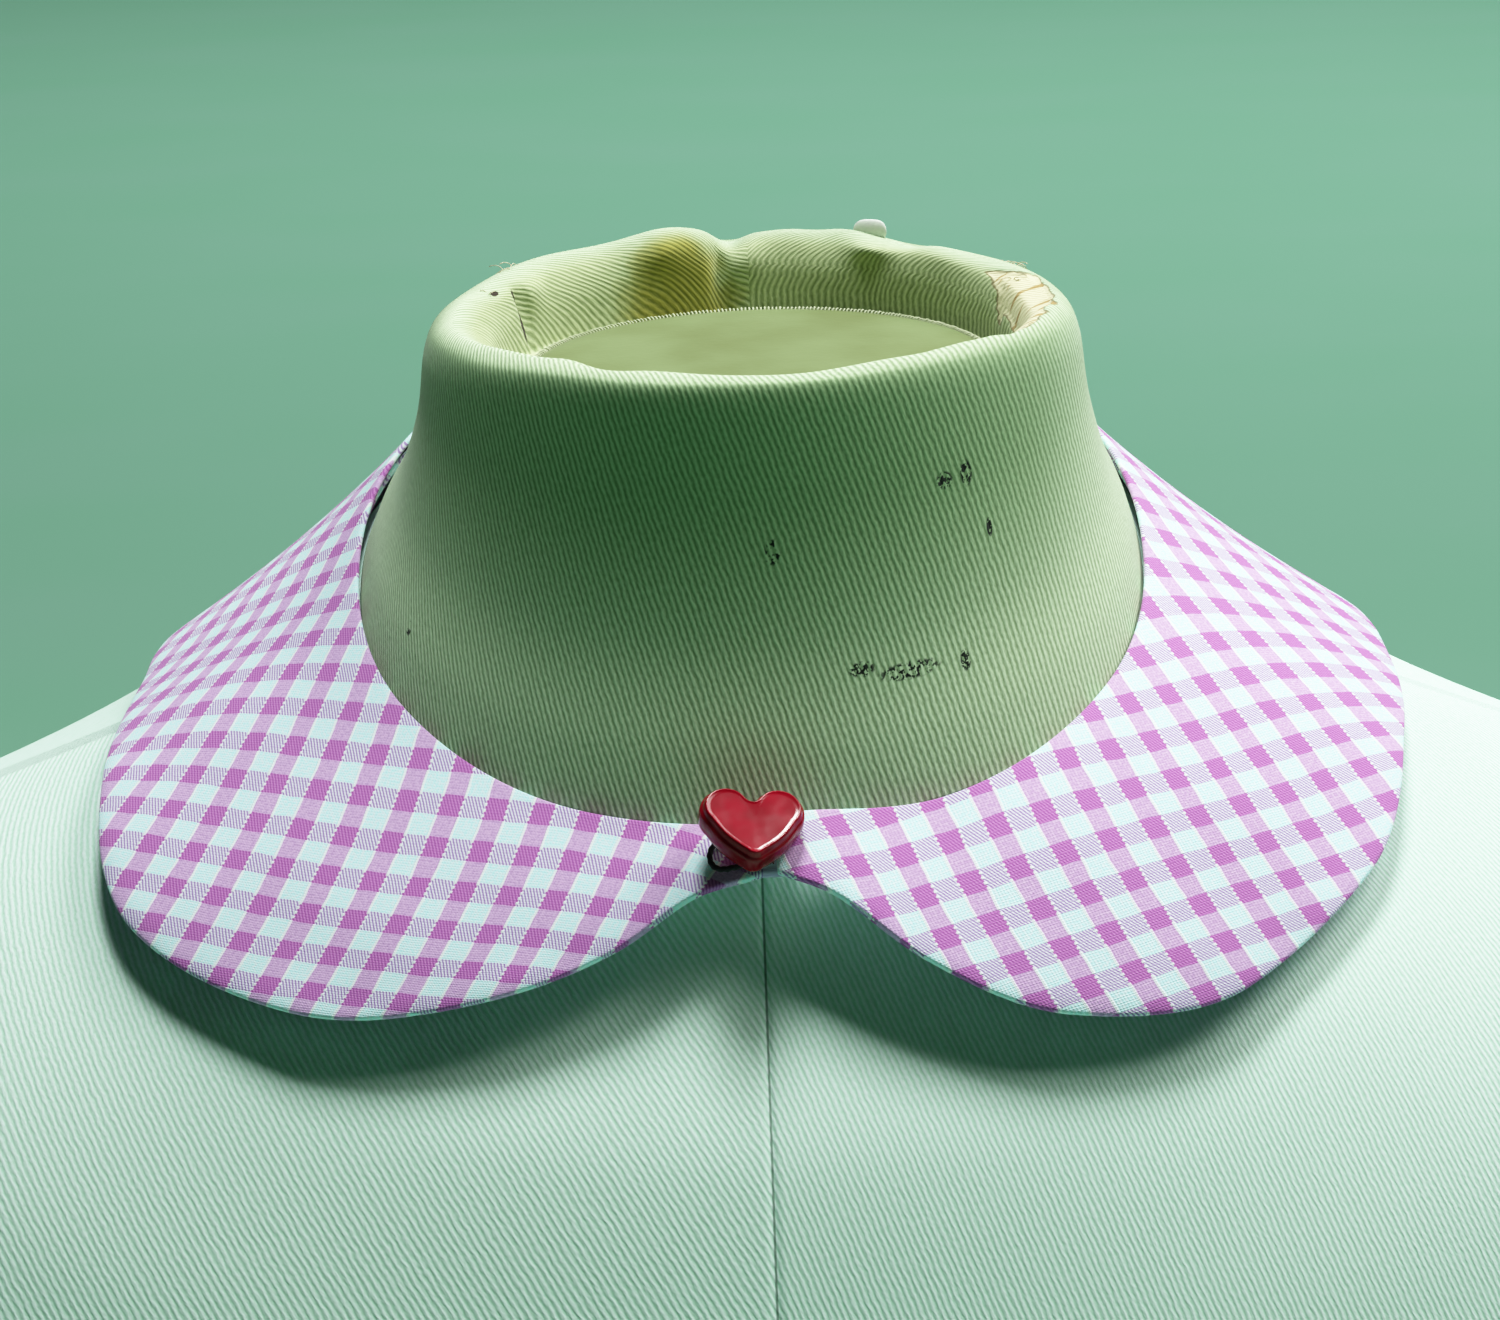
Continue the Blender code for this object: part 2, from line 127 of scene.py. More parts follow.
# How the gingham lies on the collar, counted in repeats. Columns: arc from centre front, then for the
# warp stripes their count at the neck edge, its change over the next 10 mm of depth and that change's
# growth, and the same three for the weft bands
LEFT_LAY = (
    (0, -7.91, -0.675, -0.0816, -2.12, 1.418, 0.0900),
    (12, -6.71, -0.331, -0.0793, -1.38, 1.357, 0.0880),
    (24, -5.15, 0.022, -0.0769, -1.18, 1.292, 0.0861),
    (36, -3.49, 0.394, -0.0706, -1.40, 1.159, 0.0756),
    (48, -1.90, 0.735, -0.0604, -1.93, 1.023, 0.0636),
    (60, -0.49, 1.027, -0.0537, -2.74, 0.889, 0.0540),
    (72, 0.74, 1.299, -0.0560, -3.80, 0.745, 0.0419),
    (84, 1.77, 1.562, -0.0467, -5.06, 0.540, 0.0176),
    (98, 3.04, 1.821, 0.0111, -6.80, 0.201, -0.0158),
    (115, 4.03, 1.642, 0.0450, -9.49, 0.021, -0.0103),
    (135, 4.80, 1.571, 0.0371, -12.77, 0.0, -0.0041),
    (160, 5.41, 1.576, 0.0183, -16.89, 0.0, -0.0023),
    (BACK, 5.55, 1.575, 0.0, -23.00, 0.0, 0.0),
)
RIGHT_LAY = (
    (0, -9.30, -0.600, -0.0271, -42.26, -1.469, -0.0056),
    (12, -7.71, -0.308, -0.0338, -42.62, -1.370, -0.0173),
    (24, -6.19, -0.010, -0.0402, -42.97, -1.295, -0.0298),
    (36, -4.66, 0.300, -0.0453, -43.00, -1.209, -0.0383),
    (48, -3.10, 0.615, -0.0468, -42.62, -1.103, -0.0438),
    (60, -1.56, 0.895, -0.0456, -41.83, -0.970, -0.0437),
    (72, -0.11, 1.103, -0.0461, -40.92, -0.811, -0.0451),
    (84, 1.10, 1.286, -0.0399, -39.98, -0.523, -0.0305),
    (98, 2.29, 1.453, -0.0280, -38.47, -0.184, -0.0101),
    (115, 3.33, 1.566, -0.0133, -36.08, -0.016, -0.0094),
    (135, 4.26, 1.576, -0.0032, -32.90, 0.0, -0.0091),
    (160, 5.08, 1.575, 0.0008, -28.91, 0.0, -0.0053),
    (BACK, 5.55, 1.575, 0.0, -23.00, 0.0, 0.0),
)


def tilted_ring(half_width, front, back, side_z, slope, square, lean):
    """A table row whose ring lies in one plane, higher at the back."""
    return (half_width, front, back, side_z, side_z - slope * front, side_z + slope * back, square, 1.0, lean)


# Dress form. Columns: half width, front, back, heights at side, front and back, squareness, bow, lean
NECK_SEAM_Z = -1.2
NECK_SLOPE = math.tan(NECK_TILT)
SEAM_DROP = SEAM_GAP / math.cos(NECK_TILT)
RECESS_SLOPE = 0.105
NECK_COVER = (
    tilted_ring(60.6, 52.6, 52.6, NECK_SEAM_Z, NECK_SLOPE, 2.2, 0.0),
    (58.7, 50.7, 51.8, 5.0, -19.0, 29.5, 2.15, 1.0, 0.3),
    (54.6, 47.0, 49.9, 15.0, -2.0, 33.0, 2.1, 1.0, 0.8),
    (51.5, 45.0, 48.0, 27.0, 18.0, 38.0, 2.05, 1.0, 1.2),
    (50.4, 44.8, 47.0, 35.5, 32.0, 42.5, 2.0, 1.0, 1.3),
    (49.0, 43.9, 45.6, 38.8, 36.0, 45.2, 2.0, 1.0, 1.3),
    (46.0, 40.2, 42.6, 40.0, 37.6, 46.2, 2.0, 1.0, 1.3),
    (42.8, 37.2, 39.6, 38.6, 36.2, 45.0, 2.0, 1.0, 1.3),
    (41.0, 35.4, 37.8, 35.0, 32.4, 41.4, 2.0, 1.0, 1.3),
    tilted_ring(40.0, 34.6, 37.0, 29.6, RECESS_SLOPE, 2.0, 1.3),
)
# Folds of the cloth that is turned over the rim. Columns: turn from centre front in degrees, its reach
# round, place along the cover's table, its reach, then how far it stands up and in
RIM_TOP_ROW = 6.0
RIM_FOLDS = (
    (5, 34, 6.2, 2.4, -1.6, 0.0),
    (288, 30, 8.4, 1.4, 0.0, 3.2),
    (197, 15, 6.2, 1.6, 2.0, 1.6),
    (199, 9, 7.4, 1.0, 0.2, 1.5),
    (184, 5, 6.3, 1.8, -1.9, -0.8),
    (186.5, 2.6, 7.9, 1.5, -0.3, -1.8),
    (181, 6, 7.6, 1.0, 0.0, 0.9),
    (171, 8, 6.0, 1.3, 0.7, 0.6),
    (160, 9, 6.0, 1.3, 1.2, 0.3),
    (152, 7, 7.0, 0.9, 0.3, 2.1),
    (146, 6, 6.0, 1.0, -1.1, -0.8),
    (133, 14, 6.6, 1.2, 0.3, 0.8),
    (240, 2.0, 7.7, 1.1, -0.3, -1.9),
    (236, 6, 7.4, 1.0, 0.3, 1.0),
    (247, 9, 6.6, 1.0, -0.5, 0.6),
    (262, 16, 6.0, 1.4, 0.7, 0.7),
    (225, 16, 6.0, 1.2, 0.5, 0.0),
    (333, 9, 6.3, 0.9, -0.5, -0.5),
    (322, 7, 6.4, 0.9, 0.4, 0.5),
    (40, 8, 6.6, 0.9, 0.3, 0.6),
    (60, 9, 6.4, 0.9, -0.5, -0.3),
    (98, 16, 6.3, 1.2, -0.9, -0.4),
    (78, 9, 6.2, 1.1, 0.4, 0.5),
)
RIM_UNEVENNESS = 0.7
PATCH_DEPTH = 0.5
TORSO = (
    tilted_ring(60.6, 52.6, 52.6, NECK_SEAM_Z - SEAM_DROP, NECK_SLOPE, 2.2, 0.0),
    (70.0, 58.0, 59.0, -8.0, -42.0, 15.0, 2.2, 1.1, 0.0),
    (95.0, 68.0, 73.0, -19.5, -61.0, -9.0, 2.2, 1.3, 0.0),
    (126.0, 79.0, 85.0, -31.0, -82.0, -42.0, 2.25, 1.6, 0.0),
    (158.0, 91.0, 93.0, -43.0, -112.0, -82.0, 2.35, 1.9, 0.0),
    (176.0, 100.0, 97.0, -56.0, -138.0, -112.0, 2.5, 2.0, 0.0),
    (182.0, 106.0, 99.0, -82.0, -160.0, -138.0, 2.6, 2.0, 0.0),
    (178.0, 113.0, 99.0, -122.0, -178.0, -164.0, 2.6, 2.0, 0.0),
    (161.0, 119.0, 96.0, -182.0, -207.0, -200.0, 2.5, 2.0, 0.0),
    (146.0, 117.0, 91.0, -235.0, -243.0, -240.0, 2.4, 2.0, 0.0),
    (131.0, 103.0, 85.0, -290.0, -290.0, -290.0, 2.3, 1.0, 0.0),
    (120.5, 91.5, 82.0, -345.0, -345.0, -345.0, 2.25, 1.0, 0.0),
    (125.0, 92.5, 89.0, -385.0, -385.0, -385.0, 2.25, 1.0, 0.0),
    (145.0, 100.0, 105.0, -440.0, -440.0, -440.0, 2.25, 1.0, 0.0),
    (162.0, 107.0, 117.0, -500.0, -500.0, -500.0, 2.25, 1.0, 0.0),
    (166.0, 108.0, 119.0, -535.0, -535.0, -535.0, 2.25, 1.0, 0.0),
    (163.0, 105.0, 116.0, -545.0, -545.0, -545.0, 2.25, 1.0, 0.0),
)
# Flecks of ink on the neck. Columns: turn in degrees, reach round, table row, reach, and how sparse they are
INK_FLECKS = (
    (32, 1.6, 3.0, 0.08, 0.47),
    (36.5, 1.2, 3.02, 0.12, 0.45),
    (40, 0.6, 2.52, 0.07, 0.38),
    (22, 5.0, 1.62, 0.07, 0.50),
    (14.5, 2.0, 1.7, 0.06, 0.48),
    (31.5, 0.9, 1.57, 0.09, 0.46),
    (2, 1.2, 2.62, 0.09, 0.52),
    (296, 0.7, 1.25, 0.08, 0.46),
)
NECK_STEPS_ROUND = 384
NECK_ROWS_PER_RING = 10
TORSO_STEPS_ROUND = 320
TORSO_ROWS_PER_RING = 11
# Twill ribs lean from upright, seen from the front, in degrees
# Columns: lean and spacing in millimetres, on the left half and on the right half
OUTER_NECK_RIBS = ((19.5, 0.96), (19.5, 0.96))
INNER_NECK_RIBS = ((37.0, 1.3), (19.0, 0.92))
CHEST_RIBS = ((30.0, 1.02), (21.5, 0.93))
CENTRE_SEAM_DEPTH = 0.45
CENTRE_SEAM_WIDTH = 0.4
CHEST_FULLNESS = 5.0

# Padded disc in the neck's recess
CAP_HALF_WIDTH = 36.4
CAP_SHIFT = 1.1
CAP_FRONT = 32.4
CAP_BACK = 34.6
CAP_EDGE = 1.6
CAP_DOME = 1.6
CAP_STEPS_ROUND = 240

# Heart button
HEART_LOBE_CENTRE = 3.8
HEART_LOBE_RADIUS = 3.95
HEART_HEIGHT = 12.9
HEART_TIP_RADIUS = 2.2
HEART_SIDE_BULGE = 0.5
HEART_SIDE_STEPS = 16
HEART_NOTCH_ROUNDING = 0.1
HEART_LOBE_STEPS = 44
HEART_TIP_STEPS = 14
HEART_ELEVATION = math.radians(50.0)
HEART_YAW = math.radians(13.0)
HEART_TURN = math.radians(-9.0)
HEART_BACK_HEIGHT = 6.0
BUTTON_ARC = -1.8
BUTTON_SHARE = 0.56
# Columns: how far in from the outline, height over the back. The face is a plateau inside a sloping border.
HEART_PROFILE = (
    (1.0, -0.7), (0.6, -0.64), (0.3, -0.4), (0.1, 0.0), (0.0, 0.6), (0.0, 1.4), (0.03, 2.0), (0.1, 2.42),
    (0.22, 2.62), (0.36, 2.74), (0.46, 2.9), (0.54, 3.15), (0.62, 3.42), (0.7, 3.62), (0.8, 3.75), (0.9, 3.8),
    (1.02, 3.78), (1.15, 3.72),
)
HEART_DISH = 0.06

LOOP_RADIUS = 0.45
LOOP_CLEARANCE = 0.45
LOOP_START_ARC = 1.7
LOOP_BEND_ARC = -5.0
LOOP_SHARES = (0.31, 0.81)
LOOP_END_RISE = 0.5

# Sewing threads, and what has worn at the rim
STITCH_STEPS = 7
STITCH_SIDES = 5
OVERLOCK_SHARE = 0.985
OVERLOCK_HEIGHT = 1.25
# Columns: turn in degrees, table row, number of threads, and their length
RIM_FRAYS = (
    (120, 5.5, 9, 4.0),
    (234, 5.6, 8, 3.5),
    (246, 6.4, 4, 1.6),
    (112, 6.6, 6, 2.2),
    (66, 6.2, 4, 1.8),
)
TAB_TURN = 155.0
TAB_HALF_WIDTH = 2.9
TAB_HALF_HEIGHT = 1.8
TAB_HALF_THICKNESS = 0.35
TAB_RISE = 0.5


def between_rows(rows, column, at, flat_turns):
    """Value of one column at a place along a table, by a cubic through its rows.

    With flat_turns the cubic never overshoots a row; without, it bends as evenly as it can.
    """
    places = [row[0] for row in rows]
    values = [row[column] for row in rows]
    spans = [b - a for a, b in zip(places, places[1:])]
    slopes = [(values[i + 1] - values[i]) / spans[i] for i in range(len(spans))]
    tangents = [slopes[0]]
    for i, (before, after) in enumerate(zip(slopes, slopes[1:])):
        if flat_turns:
            tangents.append(0.0 if before * after <= 0 else 2 * before * after / (before + after))
        else:
            tangents.append((before * spans[i + 1] + after * spans[i]) / (spans[i] + spans[i + 1]))
    tangents.append(slopes[-1])
    at = min(max(at, places[0]), places[-1])
    i = max(k for k in range(len(spans)) if places[k] <= at)
    t = (at - places[i]) / spans[i]
    rise = (2 * t**3 - 3 * t**2 + 1) * values[i] + (3 * t**2 - 2 * t**3) * values[i + 1]
    return rise + spans[i] * ((t**3 - 2 * t**2 + t) * tangents[i] + (t**3 - t**2) * tangents[i + 1])


def monotone(rows, column, at):
    return between_rows(rows, column, at, flat_turns=True)


def smoothstep(low, high, at):
    t = min(max((at - low) / (high - low), 0.0), 1.0)
    return t * t * (3 - 2 * t)


def bell(distance, width):
    """1 at no distance, near 0 beyond the width."""
    return math.exp(-2.0 * (distance / width) ** 2)


def power(value, squareness):
    return math.copysign(abs(value) ** (2 / squareness), value)


def neck_edge_points():
    """The neck edge from centre front towards +X and once round, with the arc length at each point."""
    points, arcs = [], [0.0]
    for k in range(NECK_EDGE_SAMPLES + 1):
        turn = 2 * math.pi * k / NECK_EDGE_SAMPLES
        x = NECK_EDGE_HALF_WIDTH * power(math.sin(turn), NECK_EDGE_SQUARENESS)
        y = -NECK_EDGE_HALF_DEPTH * power(math.cos(turn), NECK_EDGE_SQUARENESS)
        points.append(Vector((x, y, y * math.tan(NECK_TILT))))
        if k:
            arcs.append(arcs[-1] + (points[k] - points[k - 1]).length)
    return points, arcs


NECK_POINTS, NECK_ARCS = neck_edge_points()
NECK_EDGE_LENGTH = NECK_ARCS[-1]


@lru_cache(maxsize=None)
def on_neck_edge(arc):
    """Point and direction on the neck edge at an arc from centre front, positive towards +X."""
    arc = arc % NECK_EDGE_LENGTH
    low, high = 0, len(NECK_ARCS) - 1
    while high - low > 1:
        middle = (low + high) // 2
        if NECK_ARCS[middle] <= arc:
            low = middle
        else:
            high = middle
    part = (arc - NECK_ARCS[low]) / (NECK_ARCS[high] - NECK_ARCS[low])
    before = NECK_POINTS[low - 2] if low > 1 else NECK_POINTS[-3]
    after = NECK_POINTS[(high + 1) % NECK_EDGE_SAMPLES]
    return NECK_POINTS[low].lerp(NECK_POINTS[high], part), (after - before).normalized()


def side_of(arc):
    """Whether an arc is on the left half, and its distance from centre front there."""
    on_left = arc > -NECK_EDGE_LENGTH / 2
    return on_left, -arc if on_left else arc + NECK_EDGE_LENGTH


@lru_cache(maxsize=None)
def collar_row(arc):
    on_left, from_centre = side_of(arc)
    table = LEFT_COLLAR if on_left else RIGHT_COLLAR
    return tuple(monotone(table, column, from_centre) for column in (1, 2, 3))


def collar_point(arc, share):
    """Middle of the cloth at an arc and a share of the depth.

    The arc falls from the left end, just past centre front, round the back to the right end.
    """
    depth, fall_in, fall_out = collar_row(arc)
    start, bend = math.radians(fall_in), math.radians(fall_out - fall_in)
    point, along = on_neck_edge(arc)
    outward = Vector((along.y, -along.x, 0)).normalized()
    reach = depth * (math.sin(start + bend * share) - math.sin(start)) / bend
    drop = depth * (math.cos(start) - math.cos(start + bend * share)) / bend
    way = outward * reach - Vector((0, 0, drop))
    square = way - along * way.dot(along)
    if square.length > 1e-9:
        square *= way.length / square.length
    return point + square


def collar_surface(arc, share, above):
    """A place a given height above the middle of the cloth, square to it."""
    step_arc, step_share = 0.5, 0.02
    low, high = share - step_share, min(share + step_share, 1.0)
    round_way = collar_point(arc + step_arc, share) - collar_point(arc - step_arc, share)
    deep_way = collar_point(arc, high) - collar_point(arc, low)
    normal = deep_way.cross(round_way).normalized()
    return collar_point(arc, share) + normal * above, normal


def right_end_lift(arc_to_end):
    """The right end lies over the left one, so it rises towards centre front."""
    return RIGHT_END_LIFT * (1 - smoothstep(RIGHT_LIFT_FROM, RIGHT_LIFT_TO, arc_to_end))


@lru_cache(maxsize=None)
def lay_row(arc):
    on_left, from_centre = side_of(arc)
    table = LEFT_LAY if on_left else RIGHT_LAY
    return [between_rows(table, column, from_centre, flat_turns=False) for column in range(1, 7)]


def checks_at(arc, distance):
    """How many repeats of warp stripes and weft bands lie up to a place a distance from the neck edge."""
    tens = distance / 10
    row = lay_row(arc)
    return tuple(row[k] + row[k + 1] * tens + row[k + 2] * tens * tens for k in (0, 3))


def to_world(point):
    return (point + Vector((0, 0, SIDE_NECK_HEIGHT))) * MM


def in_world(places):
    return [tuple(to_world(place)) for place in places]


def piece_from(name, vertices, faces, finish, uv=None, uv_name="weave"):
    """A mesh piece that rides on the form; uv gives one place for each face corner."""
    mesh = bpy.data.meshes.new(name)
    mesh.from_pydata(vertices, [], faces)
    mesh.materials.append(finish)
    if uv:
        layer = mesh.uv_layers.new(name=uv_name)
        for corner, place in zip(layer.data, uv):
            corner.uv = place
    mesh.shade_smooth()
    made = bpy.data.objects.new(name, mesh)
    bpy.context.scene.collection.objects.link(made)
    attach(made, "root")
    return made


def tidy_shell(piece, merge=1e-7):
    """Welds coincident points of a closed shell and turns its faces outwards."""
    shell = bmesh.new()
    shell.from_mesh(piece.data)
    bmesh.ops.remove_doubles(shell, verts=shell.verts, dist=merge)
    bmesh.ops.dissolve_degenerate(shell, edges=shell.edges, dist=merge)
    bmesh.ops.recalc_face_normals(shell, faces=shell.faces)
    shell.to_mesh(piece.data)
    shell.free()
    return piece


def linear(hex_colour):
    """An sRGB hex colour as the linear colour that Blender's sockets take."""
    channels = [int(hex_colour[k:k + 2], 16) / 255 for k in (1, 3, 5)]
    return tuple(c / 12.92 if c <= 0.04045 else ((c + 0.055) / 1.055) ** 2.4 for c in channels) + (1.0,)


def new_material(name, roughness, **sockets):
    made = bpy.data.materials.new(name)
    made.use_nodes = True
    shader = made.node_tree.nodes["Principled BSDF"]
    shader.inputs["Roughness"].default_value = roughness
    for socket, value in sockets.items():
        shader.inputs[socket.replace("_", " ")].default_value = value
    return made, partial(add_node, made.node_tree), shader


MATH, MIX, RANGE = "ShaderNodeMath", "ShaderNodeMix", "ShaderNodeMapRange"
NOISE, UV_MAP, SPLIT = "ShaderNodeTexNoise", "ShaderNodeUVMap", "ShaderNodeSeparateXYZ"
COLOURS, SMOOTH = {"data_type": "RGBA"}, {"interpolation_type": "SMOOTHSTEP"}
MIX_SHARE, MIX_FIRST, MIX_SECOND, MIX_COLOUR = 0, 6, 7, 2


def add_node(tree, kind, inputs=(), output=0, to=None, **settings):
    """Adds a node with its settings and links, and returns one of its outputs.

    inputs are values or other nodes' outputs, in order or by name; to is a socket that takes the output.
    """
    made = tree.nodes.new(kind)
    for name, value in settings.items():
        setattr(made, name, value)
    for name, value in inputs.items() if isinstance(inputs, dict) else enumerate(inputs):
        if isinstance(value, bpy.types.NodeSocket):
            tree.links.new(value, made.inputs[name])
        elif value is not None:
            made.inputs[name].default_value = value
    if to:
        tree.links.new(made.outputs[output], to)
    return made.outputs[output]


def gingham_material():
    """Yarn-dyed cotton gingham, 1/8 inch checks, with a white cord along each coloured warp stripe.

    Plain-woven and matt: dyed on white shows as flecks where only one set of yarns is coloured.
    The flecks are drawn twice as coarse as the yarns, which are too fine to show.
    """
    made, node, shader = new_material(
        "yarn_dyed_gingham_cotton", 0.82, Sheen_Weight=0.25, Sheen_Roughness=0.5)
    place = node(UV_MAP, uv_map="checks")
    drift = node(MATH, (node(NOISE, {"Vector": place, "Scale": 1.7, "Detail": 1.0}), 0.07, -0.035),
                 operation="MULTIPLY_ADD")
    warp = node(MATH, (node(SPLIT, (place,), 0), drift), operation="ADD")
    weft = node(MATH, (node(SPLIT, (place,), 1), drift), operation="SUBTRACT")

    def from_stripe(count):
        """Distance in repeats from the middle of the nearest coloured stripe."""
        nearest = node(MATH, (count,), operation="ROUND")
        return node(MATH, (node(MATH, (count, nearest), operation="SUBTRACT"),), operation="ABSOLUTE")

    def thread_wave(along_warp, along_weft):
        """0 to 1, a given number of times in a repeat of each direction."""
        phase = node(MATH, (warp, along_warp * 2 * math.pi,
                            node(MATH, (weft, along_weft * 2 * math.pi), operation="MULTIPLY")),
                     operation="MULTIPLY_ADD")
        return node(MATH, (node(MATH, (phase,), operation="SINE"), 0.5, 0.5), operation="MULTIPLY_ADD")

    warp_away, weft_away = from_stripe(warp), from_stripe(weft)
    warp_dyed = node(RANGE, (warp_away, 0.243, 0.257, 1.0, 0.0), **SMOOTH)
    weft_dyed = node(RANGE, (weft_away, 0.240, 0.258, 1.0, 0.0), **SMOOTH)
    flecks = thread_wave(14.0, 8.0)
    grain = node(NOISE, {"Vector": node("ShaderNodeMapping", {"Vector": place, "Scale": (16.0, 16.0, 1.0)}),
                         "Scale": 1.0, "Detail": 1.0})
    flecked = node(MATH, (flecks, 0.8, node(MATH, (grain, 0.5), operation="MULTIPLY")),
                   operation="MULTIPLY_ADD")
    mottles = {"white": (grain, 0.35, 0.65), "warp": (grain, 0.3, 0.7),
               "weft": (flecked, 0.3, 0.95), "both": (flecked, 0.2, 1.0)}
    cells = {cell: node(MIX, {MIX_SHARE: node(RANGE, mottle, **SMOOTH), MIX_FIRST: linear(GINGHAM[cell][0]),
                              MIX_SECOND: linear(GINGHAM[cell][1])}, MIX_COLOUR, **COLOURS)
             for cell, mottle in mottles.items()}
    between_bands, in_bands = [
        node(MIX, {MIX_SHARE: warp_dyed, MIX_FIRST: cells[first], MIX_SECOND: cells[second]}, MIX_COLOUR,
             **COLOURS) for first, second in (("white", "warp"), ("weft", "both"))]
    cloth = node(MIX, {MIX_SHARE: weft_dyed, MIX_FIRST: between_bands, MIX_SECOND: in_bands}, MIX_COLOUR,
                 **COLOURS)
    from_cord = node(MATH, (node(MATH, (warp_away, 0.25), operation="SUBTRACT"),), operation="ABSOLUTE")
    cord = node(RANGE, (from_cord, 0.020, 0.036, 1.0, 0.0), **SMOOTH)
    between = node(MATH, (1.0, weft_dyed), operation="SUBTRACT")
    on_top = node(MATH, (node(RANGE, (thread_wave(0.0, 8.0), 0.35, 0.6), **SMOOTH), between),
                  operation="MAXIMUM")
    shown = node(MATH, (cord, on_top), operation="MULTIPLY")
    node(MIX, {MIX_SHARE: node(MATH, (shown, 0.85), operation="MULTIPLY"), MIX_FIRST: cloth,
               MIX_SECOND: linear(GINGHAM["cord"])}, MIX_COLOUR, to=shader.inputs["Base Color"], **COLOURS)
    weave = node(MATH, (thread_wave(16.0, 0.0), thread_wave(0.0, 16.0)), operation="MULTIPLY")
    weave = node(MATH, (shown, 0.9, weave), operation="MULTIPLY_ADD")
    node("ShaderNodeBump", {"Height": weave, "Distance": 0.045 * MM}, to=shader.inputs["Normal"])
    return made


def twill_material(name, light, shade, relief):
    """Undyed cotton twill canvas with woven diagonal ribs, matt, with painted shade in the grooves between
    the ribs.

    UV x of the weave counts the ribs and UV y lies along them. relief is a rib's height in millimetres.
    """
    made, node, shader = new_material(name, 0.9, Sheen_Weight=0.15, Sheen_Roughness=0.6)
    place = node(UV_MAP, uv_map="weave")
    wander = node(NOISE, {"Vector": place, "Scale": 0.35})
    count = node(MATH, (wander, 0.55, node(SPLIT, (place,))), operation="MULTIPLY_ADD")
    rib = node(MATH, (node(MATH, (count, 2 * math.pi), operation="MULTIPLY"),), operation="SINE")
    yarn = node(NOISE, {"Vector": node("ShaderNodeMapping", {"Vector": place, "Scale": (2.4, 0.9, 1.0)}),
                        "Scale": 1.2, "Roughness": 0.6})
    lift = node(MATH, (rib, 0.36, yarn), operation="MULTIPLY_ADD")
    # The base colour runs from the shade colour in the grooves to the light one on the ribs: painted shade
    # between the ribs
    cloth = node(MIX, {MIX_SHARE: node(RANGE, (lift, 0.1, 0.9)), MIX_FIRST: linear(shade),
                       MIX_SECOND: linear(light)}, MIX_COLOUR, to=shader.inputs["Base Color"], **COLOURS)
    node("ShaderNodeBump", {"Height": lift, "Distance": relief * MM}, to=shader.inputs["Normal"])
    return made, node, shader, cloth


def body_twill_material():
    """The torso's twill, with a thin dark line of painted shade along the groove of the centre seams."""
    made, node, shader, cloth = twill_material("pale_cotton_twill", *BODY_TWILL)
    across = node(SPLIT, (node("ShaderNodeTexCoord", output="Object"),))
    from_seam = node(MATH, (across,), operation="ABSOLUTE")
    # Painted shade: a thin dark line along the centre seams, where their groove would be shaded
    painted_seam_shade = node(RANGE, (from_seam, 0.08 * MM, 0.26 * MM, 0.7, 0.0), **SMOOTH)
    node(MIX, {MIX_SHARE: painted_seam_shade, MIX_FIRST: cloth, MIX_SECOND: linear("#3C5A4A")}, MIX_COLOUR,
         to=shader.inputs["Base Color"], **COLOURS)
    return made


